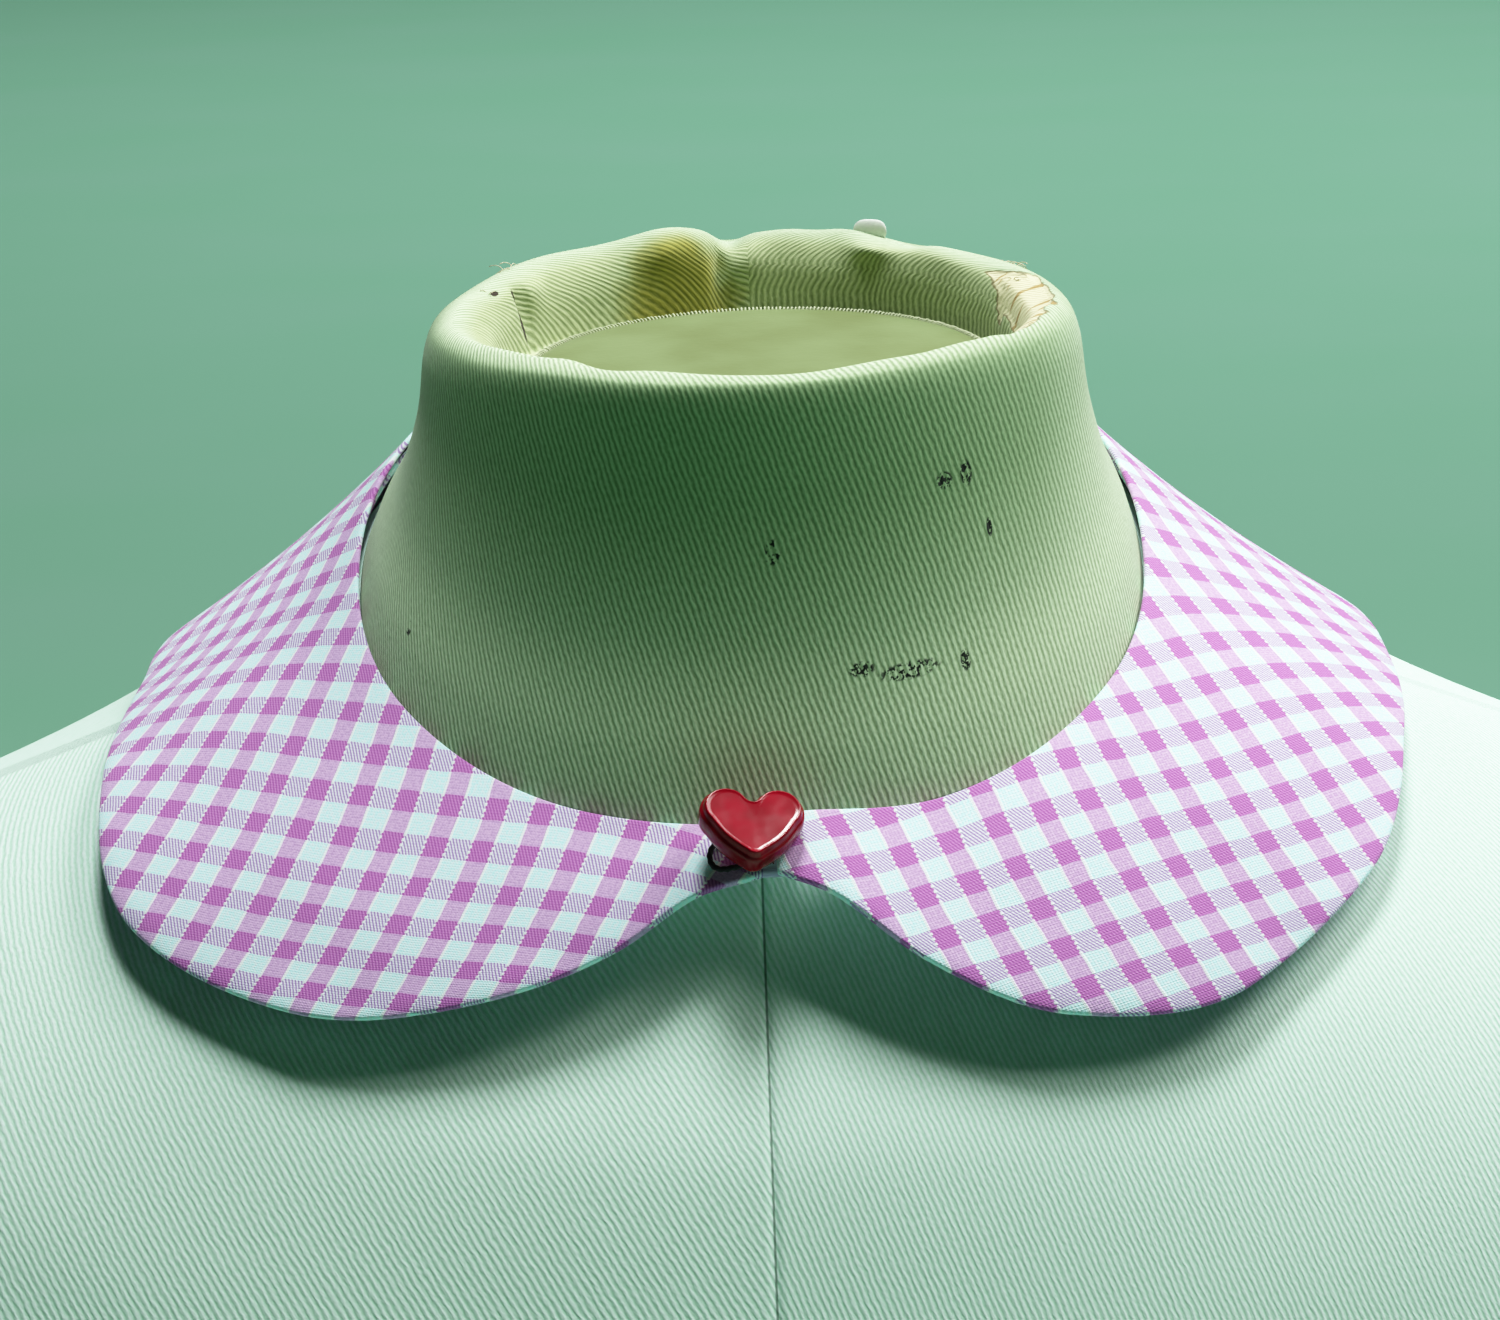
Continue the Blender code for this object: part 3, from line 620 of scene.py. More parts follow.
def aged_and_shaded_neck_material():
    """The neck's twill: painted shade across its middle except on the right, yellowed inside the rim, flecked
    with ink, and torn on its right.

    UV x of the stations is the turn from centre front in hundreds of degrees and UV y the cover's table row.
    """
    made, node, shader, cloth = twill_material("aged_cotton_twill_and_painted_shade", *NECK_TWILL)
    station = node(UV_MAP, uv_map="station")
    turn, row = node(SPLIT, (station,), 0), node(SPLIT, (station,), 1)
    where = node("ShaderNodeTexCoord", output="Object")
    weave = node(UV_MAP, uv_map="weave")
    blotch = node(MATH, (node(NOISE, {"Vector": where, "Scale": 90.0, "Detail": 3.0}), 3.0, -1.5),
                  operation="MULTIPLY_ADD")

    def spot(degrees, reach_degrees, centre, reach_rows, raggedness, blur):
        """1 inside an oval at a place on the neck and 0 outside, with a more or less ragged outline."""
        x = node(MATH, (turn, 100 / reach_degrees, -degrees / reach_degrees), operation="MULTIPLY_ADD")
        y = node(MATH, (row, 1 / reach_rows, -centre / reach_rows), operation="MULTIPLY_ADD")
        away = node(MATH, (blotch, raggedness, node(MATH, (y, y), operation="MULTIPLY")),
                    operation="MULTIPLY_ADD")
        away = node(MATH, (x, x, away), operation="MULTIPLY_ADD")
        return node(RANGE, (away, 1 - blur, 1 + blur, 1.0, 0.0), **SMOOTH)

    # Share, tint and way of mixing of the painted shade and of each stain, in the order they are laid on
    stains_and_shade = []
    # Painted shade: the neck is darker across its middle, except on its right, standing in for the shade on
    # its front
    painted_shade_band = node(MATH, (node(RANGE, (row, 1.1, 3.1), **SMOOTH),
                          node(RANGE, (row, 4.6, 6.0, 1.0, 0.0), **SMOOTH)), operation="MULTIPLY")
    to_left = node(RANGE, (node(SPLIT, (where,)), 42 * MM, 58 * MM, 1.0, 0.0), **SMOOTH)
    stains_and_shade.append((node(MATH, (painted_shade_band, to_left), operation="MULTIPLY"), linear("#C2CFBD"), "MULTIPLY"))
    inside = node(RANGE, (row, 6.1, 7.2), **SMOOTH)
    yellowed = node(MATH, (spot(197, 17, 8.3, 1.7, 1.0, 0.9), 0.38), operation="MAXIMUM")
    stains_and_shade.append((node(MATH, (inside, yellowed), operation="MULTIPLY"), linear("#D2BC74"), "MULTIPLY"))
    fleck = node(NOISE, {"Vector": node("ShaderNodeMapping", {"Vector": weave, "Scale": (1.3, 0.9, 1.0)}),
                         "Scale": 1.0, "Roughness": 0.7})
    for degrees, reach_degrees, centre, reach_rows, sparse in INK_FLECKS:
        drops = node(RANGE, (fleck, sparse, sparse + 0.05), **SMOOTH)
        inked = node(MATH, (spot(degrees, reach_degrees, centre, reach_rows, 0.0, 0.4), drops),
                     operation="MULTIPLY")
        stains_and_shade.append((inked, linear("#0C180C"), "MIX"))
    patch = node(SPLIT, (node(UV_MAP, uv_map="torn"),))
    brown_line = node(RANGE, (node(NOISE, {"Vector": node("ShaderNodeMapping", {
        "Vector": station, "Scale": (70.0, 0.5, 1.0)}), "Scale": 0.8, "Detail": 1.0}), 0.58, 0.64), **SMOOTH)
    backing = node(MIX, {MIX_SHARE: brown_line, MIX_FIRST: linear("#E4E0B8"), MIX_SECOND: linear("#AE9460")},
                   MIX_COLOUR, **COLOURS)
    stains_and_shade.append((node(RANGE, (patch, 0.0, 0.05), **SMOOTH), backing, "MIX"))
    edge = node(MATH, (node(RANGE, (patch, -0.06, 0.0), **SMOOTH),
                       node(RANGE, (patch, 0.02, 0.09, 1.0, 0.0), **SMOOTH)), operation="MULTIPLY")
    stains_and_shade.append((node(MATH, (edge, 0.7), operation="MULTIPLY"), linear("#6F5A34"), "MIX"))
    hole = node(MATH, (spot(246.5, 1.6, 6.55, 0.16, 0.4, 0.3), spot(240.5, 0.7, 7.9, 0.85, 0.3, 0.4)),
                operation="MAXIMUM")
    stains_and_shade.append((hole, linear("#2C1E0E"), "MIX"))
    for share, tint, mixing in stains_and_shade:
        cloth = node(MIX, {MIX_SHARE: share, MIX_FIRST: cloth, MIX_SECOND: tint}, MIX_COLOUR,
                     to=shader.inputs["Base Color"], blend_type=mixing, **COLOURS)
    return made


def cap_material():
    """Cream woven lining over a padded disc, smooth, faintly blotched with age."""
    made, node, shader = new_material("cream_lining_cloth", 0.85, Sheen_Weight=0.1)
    where = node("ShaderNodeTexCoord", output="Object")
    blotch = node(RANGE, (node(NOISE, {"Vector": where, "Scale": 45.0, "Detail": 3.0}), 0.35, 0.68), **SMOOTH)
    node(MIX, {MIX_SHARE: blotch, MIX_FIRST: linear(CAP_CLOTH[0]), MIX_SECOND: linear(CAP_CLOTH[1])},
         MIX_COLOUR, to=shader.inputs["Base Color"], **COLOURS)
    weave = node(NOISE, {"Vector": where, "Scale": 900.0, "Detail": 1.0})
    node("ShaderNodeBump", {"Height": weave, "Distance": 0.05 * MM}, to=shader.inputs["Normal"])
    return made


def red_plastic():
    """Injection-moulded plastic with a satin gloss: highlights only along its edges, faint moulding waves."""
    made, node, shader = new_material("moulded_red_plastic", 0.18, IOR=1.42)
    where = node("ShaderNodeTexCoord", output="Object")
    cloud = node(RANGE, (node(NOISE, {"Vector": where, "Scale": 260.0, "Detail": 1.0}), 0.3, 0.7), **SMOOTH)
    node(MIX, {MIX_SHARE: cloud, MIX_FIRST: linear(HEART_RED[0]), MIX_SECOND: linear(HEART_RED[1])},
         MIX_COLOUR, to=shader.inputs["Base Color"], **COLOURS)
    waves = node(NOISE, {"Vector": where, "Scale": 320.0, "Detail": 1.0})
    node("ShaderNodeBump", {"Height": waves, "Distance": 0.05 * MM}, to=shader.inputs["Normal"])
    return made


def thread_material(name, colour, dark, roughness=0.8):
    """Spun cotton thread: matt, with a slight change of shade along it."""
    made, node, shader = new_material(name, roughness, Sheen_Weight=0.2)
    where = node("ShaderNodeTexCoord", output="Object")
    cloud = node(NOISE, {"Vector": where, "Scale": 1500.0, "Detail": 1.0})
    node(MIX, {MIX_SHARE: cloud, MIX_FIRST: linear(dark), MIX_SECOND: linear(colour)}, MIX_COLOUR,
         to=shader.inputs["Base Color"], **COLOURS)
    return made


def pale_floor_material():
    """Matt painted board, a plain pale green-grey."""
    made, node, shader = new_material("pale_painted_board", 0.9)
    where = node("ShaderNodeTexCoord", output="Object")
    cloud = node(NOISE, {"Vector": where, "Scale": 3.0, "Detail": 1.0})
    node(MIX, {MIX_SHARE: cloud, MIX_FIRST: linear(FLOOR_PAINT[0]), MIX_SECOND: linear(FLOOR_PAINT[1])},
         MIX_COLOUR, to=shader.inputs["Base Color"], **COLOURS)
    return made


def depth_places(low, high):
    """Distances from the neck edge to the outer edge, crowded at both so that they turn round."""
    last = EDGE_ROUNDING[-1]
    span = high - low - 2 * last
    inside = [low + last + span * k / COLLAR_STEPS_DEEP for k in range(1, COLLAR_STEPS_DEEP)]
    return [*(low + d for d in EDGE_ROUNDING), *inside, *(high - d for d in reversed(EDGE_ROUNDING))]


def arc_places():
    """Arcs from the left end round the back to the right end, crowded in the same way."""
    start = LEFT_END_PAST_CENTRE
    span = NECK_EDGE_LENGTH + LEFT_END_PAST_CENTRE - RIGHT_END_SHORT_OF_CENTRE
    last = EDGE_ROUNDING[-1]
    places = list(EDGE_ROUNDING)
    for k in range(1, COLLAR_STEPS_ROUND):
        part = k / COLLAR_STEPS_ROUND
        crowded = part - 0.45 * math.sin(2 * math.pi * part) / (2 * math.pi)
        places.append(last + (span - 2 * last) * crowded)
    places += [span - d for d in reversed(EDGE_ROUNDING)]
    return [(start - place, min(place, span - place)) for place in places]


def edge_fullness(distance):
    """Half the wall's share of its thickness near an edge, so that the edge is round."""
    short = max(1 - distance / EDGE_ROUNDING[-1], 0.0)
    return math.sqrt(max(1 - short * short, 0.0))


def cloth_wave(arc, share, depth, to_end):
    """How far the pressed cloth stands off its smooth lay, in millimetres."""
    freely = smoothstep(10.0, 30.0, to_end)
    _, from_centre = side_of(arc)
    front = 1 - smoothstep(70.0, 100.0, from_centre)
    slow = noise.noise(Vector((arc * 0.045, share * depth * 0.06, 3.7)))
    fine = noise.noise(Vector((arc * 0.16, share * depth * 0.05, 9.1)))
    to_edge = (1 - share) * depth
    pucker = fine * bell(to_edge - 2.5, 4.0)
    return freely * (front * 0.5 * slow * share + 0.28 * pucker)


def collar_ply(name, node, finish, offset, neck_reach, inset):
    """One ply of the collar as a closed shell with round edges, and the gingham's lay as its UV map.

    neck_reach is how far it turns in over the neck seam, and inset how far it stays inside the outer edge.
    """
    places = arc_places()
    top, bottom, lay = [], [], []
    for arc, to_end in places:
        depth, fall_in, _ = collar_row(arc)
        on_left, from_centre = side_of(arc)
        past_front = smoothstep(25.0, 62.0, from_centre)
        over_seam = neck_reach * (FRONT_NECK_REACH + (1 - FRONT_NECK_REACH) * past_front)
        low, high = -over_seam / math.cos(math.radians(fall_in)), depth - inset
        lift = 0.0 if on_left else right_end_lift(from_centre)
        for distance in depth_places(low, high):
            share = distance / depth
            to_edge = min(distance - low, high - distance)
            full = edge_fullness(to_edge) * edge_fullness(to_end)
            closing = 1 - smoothstep(0.0, SEAM_CLOSED_WITHIN, min(high - distance, to_end))
            middle = offset - math.copysign(SEAM_CLOSED_BY * closing, offset)
            middle += lift + cloth_wave(arc, share, depth, to_end)
            centre, normal = collar_surface(arc, share, middle)
            top.append(centre + normal * full * PLY / 2)
            bottom.append(centre - normal * full * PLY / 2)
            lay.append(checks_at(arc, distance))
    row = COLLAR_STEPS_DEEP - 1 + 2 * len(EDGE_ROUNDING)
    count = len(top)
    faces, uv = [], []
    for i in range(len(places) - 1):
        for j in range(row - 1):
            a = i * row + j
            corners = (a, a + 1, a + row + 1, a + row)
            faces.append(corners)
            faces.append(tuple(c + count for c in reversed(corners)))
            uv += [lay[c] for c in corners] + [lay[c] for c in reversed(corners)]
    ply = piece_from(name, in_world(top + bottom), faces, finish, uv, "checks")
    tidy_shell(ply)
    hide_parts(node)
    return ply


def ring_point(row, turn):
    """A place on one level of the form: a superellipse whose height runs from its sides to front and back."""
    half_width, front, back, side_z, front_z, back_z, square, bow, lean = row
    deep = -power(math.cos(turn), square)
    reach, end_z = (front, front_z) if deep < 0 else (back, back_z)
    z = side_z + (end_z - side_z) * abs(deep) ** bow
    return Vector((lean + half_width * power(math.sin(turn), square), reach * deep, z))


def rows_between(table, per_ring):
    """Every table row, with rows between them, each with its place along the table."""
    numbered = [(k, *row) for k, row in enumerate(table)]
    steps = (len(table) - 1) * per_ring
    return [(k / per_ring, [monotone(numbered, c, k / per_ring) for c in range(1, 10)])
            for k in range(steps + 1)]


def seam_crowded_turns(count, crowding):
    """Turns once round from centre front, closer together at centre front and centre back."""
    turns = []
    for k in range(count + 1):
        part = k / count
        turns.append(2 * math.pi * part - crowding * math.sin(4 * math.pi * part) / 2)
    return turns


def fall_from(level, column, places):
    """Distances down the middle of a cover's front or back, by how far down and out each place lies."""
    line = [row[column] for row in level]
    outness = [(abs(place.y) - place.z) * math.sqrt(0.5) for place in line]
    down = [0.0]
    for before, after in zip(line, line[1:]):
        down.append(down[-1] + (after - before).length)
    fallen = []
    for place in places:
        out = (abs(place.y) - place.z) * math.sqrt(0.5)
        k = 0
        while k < len(line) - 2 and outness[k + 1] < out:
            k += 1
        span = max(outness[k + 1] - outness[k], 1e-6)
        fallen.append(down[k] + (down[k + 1] - down[k]) * (out - outness[k]) / span)
    return fallen


def form_cover(name, node, finish, table, per_ring, turns, shape):
    """A cover lofted through the table's levels and closed at both ends, with the twill's lay as UV maps.

    shape moves a place by its turn and its place along the table. The torso's panels hang straight down
    from the shoulders; the neck's are wrapped round it and turned over the rim.
    """
    levels = rows_between(table, per_ring)
    grid = [[shape(ring_point(row, turn), turn, at) for turn in turns[:-1]] for at, row in levels]
    n = len(turns) - 1
    half = n // 2
    wrapped = node == "form_neck"
    round_at, down_at = [], []
    for i, level in enumerate(grid):
        steps = [level[(k + 1) % n] - level[k] for k in range(n)]
        steps = [step.length if wrapped else step.xy.length for step in steps]
        forward, backward = [0.0], [0.0]
        for k in range(half):
            forward.append(forward[-1] + steps[k])
        for k in range(n - 1, half - 1, -1):
            backward.append(backward[-1] - steps[k])
        round_at.append((forward, backward[::-1]))
        if not wrapped:
            front, back = fall_from(grid, 0, level), fall_from(grid, half, level)
            down_at.append([-(front[k] if place.y < 0 else back[k]) for k, place in enumerate(level)])
        elif i == 0:
            down_at.append([0.0] * n)
        else:
            down_at.append([down_at[-1][k] + (level[k] - grid[i - 1][k]).length for k in range(n)])

    def lay(i, k, right_half, inside):
        forward, backward = round_at[i]
        across = forward[k] if right_half else backward[k - half]
        ribs = INNER_NECK_RIBS if inside else OUTER_NECK_RIBS if wrapped else CHEST_RIBS
        degrees, spacing = ribs[right_half]
        lean, down = math.radians(degrees), down_at[i][k % n]
        return ((across * math.cos(lean) + down * math.sin(lean)) / spacing,
                (down * math.cos(lean) - across * math.sin(lean)) / spacing)

    vertices = [place for level in grid for place in level]
    faces, uv, stations = [], [], []
    for i in range(len(grid) - 1):
        inside = wrapped and i >= RIM_TOP_ROW * per_ring
        for k in range(n):
            right_half = k < half
            corners = ((i, k), (i + 1, k), (i + 1, k + 1), (i, k + 1))
            faces.append(tuple(r * n + c % n for r, c in corners))
            uv += [lay(r, c, right_half, inside) for r, c in corners]
            stations += [(math.degrees(turns[c]) / 100, levels[r][0]) for r, c in corners]
    for i, order in ((0, 1), (len(grid) - 1, -1)):
        hub = len(vertices)
        vertices.append(sum(grid[i], Vector()) / n)
        for k in range(n):
            pair = (i * n + k, i * n + (k + 1) % n)[::order]
            faces.append((hub, *pair))
            uv += [(0.0, 0.0), (4.0, 0.0), (4.0, 4.0)]
            stations += [(0.0, levels[i][0])] * 3
    cover = piece_from(name, in_world(vertices), faces, finish, uv)
    for corner, station in zip(cover.data.uv_layers.new(name="station").data, stations):
        corner.uv = station
    if wrapped:
        torn = cover.data.uv_layers.new(name="torn")
        for corner, station in zip(torn.data, stations):
            corner.uv = (in_patch(math.radians(station[0] * 100), station[1]), 0.0)
    tidy_shell(cover)
    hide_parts(node)
    return cover


def turn_away(turn, degrees):
    """The angle in degrees between a turn and a place round the form."""
    return (math.degrees(turn) - degrees + 180) % 360 - 180


def in_patch(turn, at):
    """Above 0 where the turned-over cloth is torn away from the inside of the right of the rim."""
    degrees = math.degrees(turn)
    reach = 1.3 * smoothstep(12.0, 56.0, degrees) * (1 - smoothstep(106.0, 124.0, degrees))
    ragged = noise.noise(Vector((degrees * 0.17, at * 2.3, 5.0))) * 0.32
    return reach - 0.12 - abs(at - 6.95) + ragged * (0.3 + reach)


def neck_shape(place, turn, at):
    """The cloth turned over the rim lies in soft uneven folds, and is torn on the right."""
    up = inward = 0.0
    for degrees, reach_round, centre, reach_along, rise, way_in in RIM_FOLDS:
        share = bell(turn_away(turn, degrees), reach_round) * bell(at - centre, reach_along)
        up += rise * share
        inward += way_in * share
    free = smoothstep(4.4, 5.6, at)
    rough = noise.noise(Vector((2.6 * math.sin(turn), 2.6 * math.cos(turn), at * 0.45)))
    up = (up + RIM_UNEVENNESS * rough) * (1 - smoothstep(8.2, 8.8, at))
    torn = PATCH_DEPTH * smoothstep(0.0, 0.12, in_patch(turn, at))
    to_axis = Vector((-place.x, -place.y, 0.0)).normalized()
    steepness = smoothstep(5.0, 6.0, at) * (1 - smoothstep(6.2, 7.5, at))
    moved = place + (Vector((0, 0, 1)) * up + to_axis * inward) * free
    side = 1.0 if at < RIM_TOP_ROW else -1.0
    return moved + (to_axis * side * (1 - steepness) - Vector((0, 0, 1)) * steepness) * torn * free


def torso_shape(place, turn, at):
    """The centre seams draw the cover in a little, and the chest is fullest under the collar's fronts."""
    from_seam = min(abs(place.x), 20.0)
    inward = Vector((0.0, -place.y, 0.0)).normalized() if abs(place.y) > 1 else Vector()
    top = smoothstep(0.0, 1.0, at)
    seam = inward * CENTRE_SEAM_DEPTH * top * bell(from_seam, CENTRE_SEAM_WIDTH * 2)
    in_front = 1 - smoothstep(40.0, 88.0, abs(turn_away(turn, 0.0)))
    full = smoothstep(0.9, 2.8, at) * (1 - smoothstep(3.6, 6.5, at)) * in_front
    return place + seam + Vector((0, -0.9, 0.43)) * CHEST_FULLNESS * full


def neck_cap(finish):
    """A domed disc that lies in the recess parallel to its floor."""
    floor = NECK_COVER[-1]
    floor_z, lean = floor[3], floor[8] + CAP_SHIFT
    profile = [(0.97, 0.0), (0.99, 0.15), (1.0, 0.5), (1.0, CAP_EDGE - 0.5), (0.99, CAP_EDGE - 0.1)]
    for k in range(1, 15):
        share = 0.98 * (1 - k / 14)
        profile.append((share, CAP_EDGE + CAP_DOME * math.sqrt(1 - (share / 0.98) ** 2) ** 1.3))
    vertices, faces = [], []
    n = CAP_STEPS_ROUND
    for share, height in profile[:-1]:
        row = tilted_ring(CAP_HALF_WIDTH * share, CAP_FRONT * share, CAP_BACK * share,
                          floor_z + SEAM_GAP + height, RECESS_SLOPE, 2.0, lean)
        vertices += [ring_point(row, 2 * math.pi * k / n) for k in range(n)]
    for level in range(len(profile) - 2):
        for k in range(n):
            a, b = level * n + k, level * n + (k + 1) % n
            faces.append((a, b, b + n, a + n))
    for level, order in ((0, -1), (len(profile) - 2, 1)):
        hub = len(vertices)
        ends = vertices[level * n:level * n + n]
        vertices.append(sum(ends, Vector()) / n)
        faces += [(hub, *(level * n + k, level * n + (k + 1) % n)[::order]) for k in range(n)]
    cap = piece_from("cap_disc", in_world(vertices), faces, finish)
    tidy_shell(cap)
    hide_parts("neck_cap")
    return cap


def heart_outline():
    """Two round lobes and a rounded tip joined by straight sides, clockwise from the notch."""
    lobe_height = HEART_HEIGHT / 2 - HEART_LOBE_RADIUS
    tip_height = -HEART_HEIGHT / 2 + HEART_TIP_RADIUS
    run = math.hypot(HEART_LOBE_CENTRE, lobe_height - tip_height)
    climb = math.atan2(lobe_height - tip_height, HEART_LOBE_CENTRE)
    notch = math.acos(-HEART_LOBE_CENTRE / HEART_LOBE_RADIUS)
    lower = climb - math.acos((HEART_TIP_RADIUS - HEART_LOBE_RADIUS) / run)
    right = []
    for k in range(HEART_LOBE_STEPS):
        angle = notch + (lower - notch) * (k + 0.5) / (HEART_LOBE_STEPS - 0.5)
        right.append((HEART_LOBE_CENTRE + HEART_LOBE_RADIUS * math.cos(angle),
                      lobe_height + HEART_LOBE_RADIUS * math.sin(angle)))
    bend = Vector((math.cos(lower), math.sin(lower)))
    start = Vector(right[-1])
    end = Vector((0, tip_height)) + bend * HEART_TIP_RADIUS
    for k in range(1, HEART_SIDE_STEPS):
        part = k / HEART_SIDE_STEPS
        place = start.lerp(end, part) + bend * HEART_SIDE_BULGE * math.sin(math.pi * part)
        right.append(tuple(place))
    for k in range(HEART_TIP_STEPS):
        angle = lower + (-math.pi / 2 - lower) * k / HEART_TIP_STEPS
        right.append((HEART_TIP_RADIUS * math.cos(angle), tip_height + HEART_TIP_RADIUS * math.sin(angle)))
    left = [(-x, y) for x, y in reversed(right)]
    notch_height = lobe_height + HEART_LOBE_RADIUS * math.sin(notch)
    outline = [(0.0, notch_height + HEART_NOTCH_ROUNDING)] + right + [(0.0, -HEART_HEIGHT / 2)] + left
    return [Vector(place) for place in outline]


def inset_outline(outline, distance):
    """The outline moved inwards along its own normals."""
    moved = []
    for k, place in enumerate(outline):
        along = (outline[(k + 1) % len(outline)] - outline[k - 1]).normalized()
        moved.append(place + Vector((along.y, -along.x)) * distance)
    return moved


def rounded(outline, passes):
    """The outline with its notch rounded off, a little more by each pass."""
    for _ in range(passes):
        outline = [(outline[k - 1] + place * 2 + outline[(k + 1) % len(outline)]) / 4
                   if abs(place.x) < 1.5 and place.y > 0 else place for k, place in enumerate(outline)]
    return outline


def button_frame():
    """Where the middle of the button's back sits, its right and top, and the way it faces."""
    seat = collar_surface(BUTTON_ARC, BUTTON_SHARE, HEART_BACK_HEIGHT)[0]
    face = Vector((math.sin(HEART_YAW) * math.cos(HEART_ELEVATION),
                   -math.cos(HEART_YAW) * math.cos(HEART_ELEVATION), math.sin(HEART_ELEVATION)))
    top = (Vector((0, 0, 1)) - face * face.z).normalized()
    right = top.cross(face)
    turned_right = right * math.cos(HEART_TURN) + top * math.sin(HEART_TURN)
    turned_top = top * math.cos(HEART_TURN) - right * math.sin(HEART_TURN)
    return seat, turned_right, turned_top, face


def heart_button(finish):
    """A moulded heart with a raised rim round a dished face, and its shank."""
    seat, right, top, face = button_frame()
    outline = heart_outline()
    outline = rounded(outline, 8)
    rings = [(rounded(inset_outline(outline, inset), 5), height) for inset, height in HEART_PROFILE]
    inner, inner_height = rings[-1]
    middle = Vector((0.0, 0.4))
    for k in range(1, 12):
        scale = 1 - k / 12
        rings.append(([middle + (place - middle) * scale for place in inner],
                      inner_height - HEART_DISH * (1 - scale * scale)))
    n = len(outline)
    vertices = [seat + right * p.x + top * p.y + face * height for ring, height in rings for p in ring]
    faces = []
    for level in range(len(rings) - 1):
        for k in range(n):
            a, b = level * n + k, level * n + (k + 1) % n
            faces.append((a, a + n, b + n, b))
    hub = len(vertices)
    vertices.append(seat + right * middle.x + top * middle.y + face * (inner_height - HEART_DISH))
    last = (len(rings) - 1) * n
    faces += [(hub, last + (k + 1) % n, last + k) for k in range(n)]
    hub = len(vertices)
    vertices.append(seat + face * HEART_PROFILE[0][1])
    faces += [(hub, k, (k + 1) % n) for k in range(n)]
    add_shank(vertices, faces, seat)
    button = piece_from("moulded_heart", in_world(vertices), faces, finish)
    tidy_shell(button)
    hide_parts("heart_button")
    return button


def add_shank(vertices, faces, seat):
    """The post under the button, flared where it leaves the moulding."""
    foot_height = PLY_OFFSET + PLY / 2 + SEAM_GAP
    foot, up = collar_surface(BUTTON_ARC, BUTTON_SHARE, foot_height)
    length = HEART_BACK_HEIGHT - foot_height + 0.6
    across = up.orthogonal().normalized()
    side = up.cross(across)
    sections = [(0.0, 0.6), (0.0, 1.0), (0.12, 1.15), (0.5, 1.2),
                (0.62, 1.2), (0.8, 1.3), (0.92, 1.6), (1.0, 2.0)]
    first, n = len(vertices), 32
    for part, radius in sections:
        for k in range(n):
            turn = 2 * math.pi * k / n
            round_it = across * math.cos(turn) + side * math.sin(turn)
            vertices.append(foot + up * length * part + round_it * radius)
    for level in range(len(sections) - 1):
        for k in range(n):
            a, b = first + level * n + k, first + level * n + (k + 1) % n
            faces.append((a, b, b + n, a + n))
    for level, at in ((0, 0.0), (len(sections) - 1, 1.0)):
        hub = len(vertices)
        vertices.append(foot + up * length * at)
        base = first + level * n
        faces += [(hub, base + (k + 1) % n, base + k) for k in range(n)]


def tube_along(line, radius_at, sides, vertices, faces):
    """A closed tube along a line of places. radius_at gives its radius by place and turn."""
    first = len(vertices)
    up = (line[1] - line[0]).orthogonal().normalized()
    for i, place in enumerate(line):
        along = (line[min(i + 1, len(line) - 1)] - line[max(i - 1, 0)]).normalized()
        up = (up - along * up.dot(along)).normalized()
        side = along.cross(up)
        for k in range(sides):
            turn = 2 * math.pi * k / sides
            vertices.append(place + (up * math.cos(turn) + side * math.sin(turn)) * radius_at(i, turn))
    for i in range(len(line) - 1):
        for k in range(sides):
            a, b = first + i * sides + k, first + i * sides + (k + 1) % sides
            faces.append((a, b, b + sides, a + sides))
    for i in (0, len(line) - 1):
        hub = len(vertices)
        vertices.append(line[i])
        base = first + i * sides
        faces += [(hub, base + k, base + (k + 1) % sides) for k in range(sides)]


def smoothed(line, steps):
    """A denser line through the places of a line, by cubic segments."""
    dense = []
    for i in range(len(line) - 1):
        before, after = line[max(i - 1, 0)], line[min(i + 2, len(line) - 1)]
        a, b = line[i], line[i + 1]
        for k in range(steps):
            t = k / steps
            dense.append(0.5 * ((2 * a) + (b - before) * t + (2 * before - 5 * a + 4 * b - after) * t * t
                                + (3 * a - before - 3 * b + after) * t**3))
    return dense + [line[-1]]


def button_loop(finish):
    """A twisted cord sewn to the right end that passes round the shank and shows beyond the button."""
    near, far = LOOP_SHARES
    low = PLY_OFFSET + PLY / 2 + LOOP_CLEARANCE + LOOP_RADIUS
    half = (far - near) / 2
    count = 8
    places = [(LOOP_START_ARC + (LOOP_BEND_ARC - LOOP_START_ARC) * k / count, near) for k in range(count + 1)]
    bend = half * LEFT_COLLAR[0][1]
    for k in range(1, count):
        angle = math.pi * k / count
        places.append((LOOP_BEND_ARC - bend * math.sin(angle), (near + far) / 2 - half * math.cos(angle)))
    places += [(arc, far) for arc, share in reversed(places[:count + 1])]
    line = [collar_surface(arc, share, low + LOOP_END_RISE * smoothstep(0.0, LOOP_START_ARC, arc))[0]
            for arc, share in places]
    line = smoothed(line, 10)
    vertices, faces = [], []
    tube_along(line, lambda i, turn: LOOP_RADIUS * (0.9 + 0.1 * math.cos(3 * turn + i * 0.55)),
               15, vertices, faces)
    loop = piece_from("cord_loop", in_world(vertices), faces, finish)
    tidy_shell(loop)
    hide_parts("button_loop")
    return loop


def path_tree(name, sizes):
    """A Geometry Nodes tree with a path going in and named sizes, and the node function for it."""
    tree = bpy.data.node_groups.new(name, "GeometryNodeTree")
    tree.interface.new_socket("Path", in_out="INPUT", socket_type="NodeSocketGeometry")
    for size, kind in sizes.items():
        tree.interface.new_socket(size, in_out="INPUT", socket_type=kind)
    tree.interface.new_socket("Made", in_out="OUTPUT", socket_type="NodeSocketGeometry")
    return tree, partial(add_node, tree)


